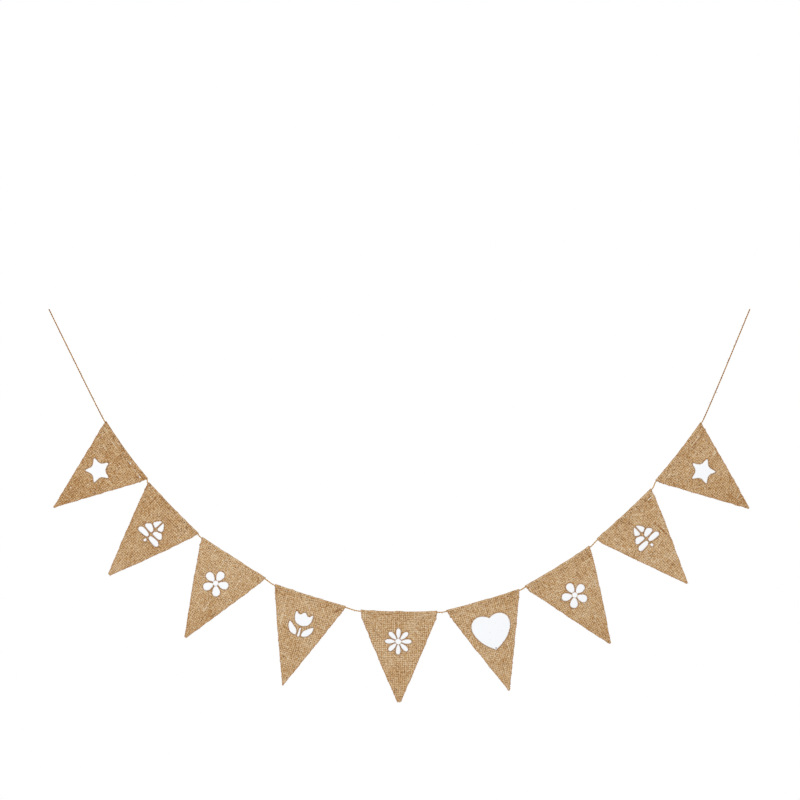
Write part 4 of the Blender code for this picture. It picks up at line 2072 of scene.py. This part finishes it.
@dataclass(frozen=True)
class Hairs:
    """Loose hairs that stand off a piece: how many to a square metre, and their length."""

    density: float
    shortest: float
    longest: float
    radius: float = 0.05 * MM

    def build(
        self,
        name: str,
        piece: bpy.types.Object,
        tree: bpy.types.NodeTree,
        finish: bpy.types.Material,
        seed: int,
    ) -> bpy.types.Object:
        """Grow the hairs on a copy of a piece.

        Args:
            name: The hairs' name.
            piece: What they stand on.
            tree: The Geometry Nodes tree of the fuzz.
            finish: The hairs' material.
            seed: The number that their random places start from.

        Returns:
            The hairs' piece.
        """
        values = {
            "Density": self.density,
            "Hair Radius": self.radius,
            "Shortest": self.shortest,
            "Longest": self.longest,
            "Seed": seed,
            "Material": finish,
        }
        return grow(name, add_object(name, piece.data.copy()), tree, values)


@dataclass(frozen=True)
class Studio:
    """A pale floor far below, soft light, and a long lens at the photograph's angle."""

    pixel: float = 1.69 * MM
    frame_pixels: int = 800
    left_end_column: float = 48.9
    left_end_row: float = 309.1
    lens: float = 100.0
    sensor: float = 36.0
    floor_drop: float = 1.6
    floor_radius: float = 3.4
    floor_sides: int = 96
    floor_dark: Colour = rgb(240, 240, 239)
    floor_pale: Colour = rgb(248, 248, 247)
    world_light: float = 0.665
    key_place: Place = (-0.5, -2.7, 1.9)
    key_power: float = 45.5
    back_place: Place = (1.6, 2.6, 1.9)
    back_power: float = 31.5
    light_size: float = 2.0

    def camera(self) -> None:
        """Put the camera square to the garland, with the photograph's frame."""
        half = self.frame_pixels / 2
        x = (half - self.left_end_column) * self.pixel
        z = (self.left_end_row - half) * self.pixel
        away = self.frame_pixels * self.pixel * self.lens / self.sensor
        data = bpy.data.cameras.new("camera")
        data.lens = self.lens
        data.sensor_width = self.sensor
        camera = add_object("camera", data)
        camera.location = (x, -away, z)
        camera.rotation_euler = (math.pi / 2, 0.0, 0.0)
        bpy.context.scene.camera = camera

    def light(self, name: str, place: Place, aim: Place, power: float) -> None:
        """Put up one soft square light.

        Args:
            name: Its name.
            place: Where it is.
            aim: What it points at.
            power: Its power in watts.
        """
        data = bpy.data.lights.new(name, "AREA")
        data.size = self.light_size
        data.energy = power
        lamp = add_object(name, data)
        lamp.location = place
        lamp.rotation_mode = "QUATERNION"
        lamp.rotation_quaternion = (Vector(aim) - Vector(place)).to_track_quat("-Z", "Y")

    def world(self) -> None:
        """A white room, which lights the garland more softly than it shows."""
        world = bpy.data.worlds.new("white studio")
        world.use_nodes = True
        g = Nodes(world.node_tree)
        seen = g.add("ShaderNodeLightPath").outputs["Is Camera Ray"]
        strength = g.out("ShaderNodeMapRange", {"Value": seen, "To Min": self.world_light, "To Max": 1.0})
        background = world.node_tree.nodes["Background"]
        background.inputs["Color"].default_value = (1.0, 1.0, 1.0, 1.0)
        g.tree.links.new(strength, background.inputs["Strength"])
        bpy.context.scene.world = world

    def build(self) -> None:
        """Make the camera, the lights, the world and the floor."""
        self.camera()
        low, high = CAD_BOX
        centre = tuple((low + high) / 2)
        for name, (side, depth, up), power in (
            ("key light", self.key_place, self.key_power),
            ("back light", self.back_place, self.back_power),
        ):
            self.light(name, (centre[0] + side, depth, centre[2] + up), centre, power)
        self.world()
        bpy.context.scene.view_settings.view_transform = "Standard"
        turns = np.linspace(0.0, 2.0 * math.pi, self.floor_sides, endpoint=False)
        ring = [
            (centre[0] + self.floor_radius * math.cos(t), self.floor_radius * math.sin(t), -self.floor_drop)
            for t in turns
        ]
        material, g, shader = new_material("pale floor", 0.9)
        colour = g.blend(g.noise(g.object_place(), 3.0), self.floor_dark, self.floor_pale)
        g.tree.links.new(colour, shader.inputs["Base Color"])
        add_object("floor", add_mesh("floor", ring, [tuple(range(len(ring)))], material))


def triangles_of(piece: bpy.types.Object) -> int:
    """How many triangles a mesh piece has."""
    piece.data.calc_loop_triangles()
    return len(piece.data.loop_triangles)


def put(piece: bpy.types.Object) -> bpy.types.Object:
    """Let a finished piece ride on the garland's body, and report it.

    Args:
        piece: The piece.

    Returns:
        The piece.
    """
    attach(piece, BODY)
    LOG.info("%s: %d triangles", piece.name, triangles_of(piece))
    return piece


def main() -> None:
    """Build the studio and the garland's pieces."""
    logging.basicConfig(level=logging.INFO, format="%(name)s: %(message)s")
    Studio().build()
    weave, mottle = weave_group(), mottle_group()
    jute = JuteFinish().build(weave, mottle)
    fibre = FibreFinish().build(mottle)
    yarn = TwineFinish().build(mottle)
    paint = PaintFinish().build(weave, mottle)
    hairs, ends = fuzz_tree(), fray_tree()
    line, channels = Route().line()
    twine = Twine(line)
    plies = put(twine.build(plied_tree(), yarn))
    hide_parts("twine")
    twine_fuzz = Hairs(30000.0, 0.8 * MM, 2.4 * MM)
    cloth_fuzz = Hairs(2800.0, 0.5 * MM, 1.2 * MM)
    twine_hairs = put(twine_fuzz.build("twine_fuzz", plies, hairs, fibre, 3))
    round(twine.length(), 3)
    for number, (cut, mark, channel) in enumerate(zip(CUTS, MARKS, channels), start=1):
        pennant = Pennant(number, cut, mark, channel)
        cloth = put(pennant.build(jute))
        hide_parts(f"pennant_{number}")
        film = put(PaintedMark(pennant).build(paint))
        frayed = grow(
            f"pennant_fray_{number}",
            pennant.thread_ends(),
            ends,
            {"End Radius": pennant.fray.radius, "Seed": number, "Material": fibre},
        )
        put(frayed)
        loose = cloth_fuzz.build(f"pennant_fuzz_{number}", cloth, hairs, fibre, number)
        put(loose)
        pennant.flat_area()


if __name__ == "__main__":
    main()
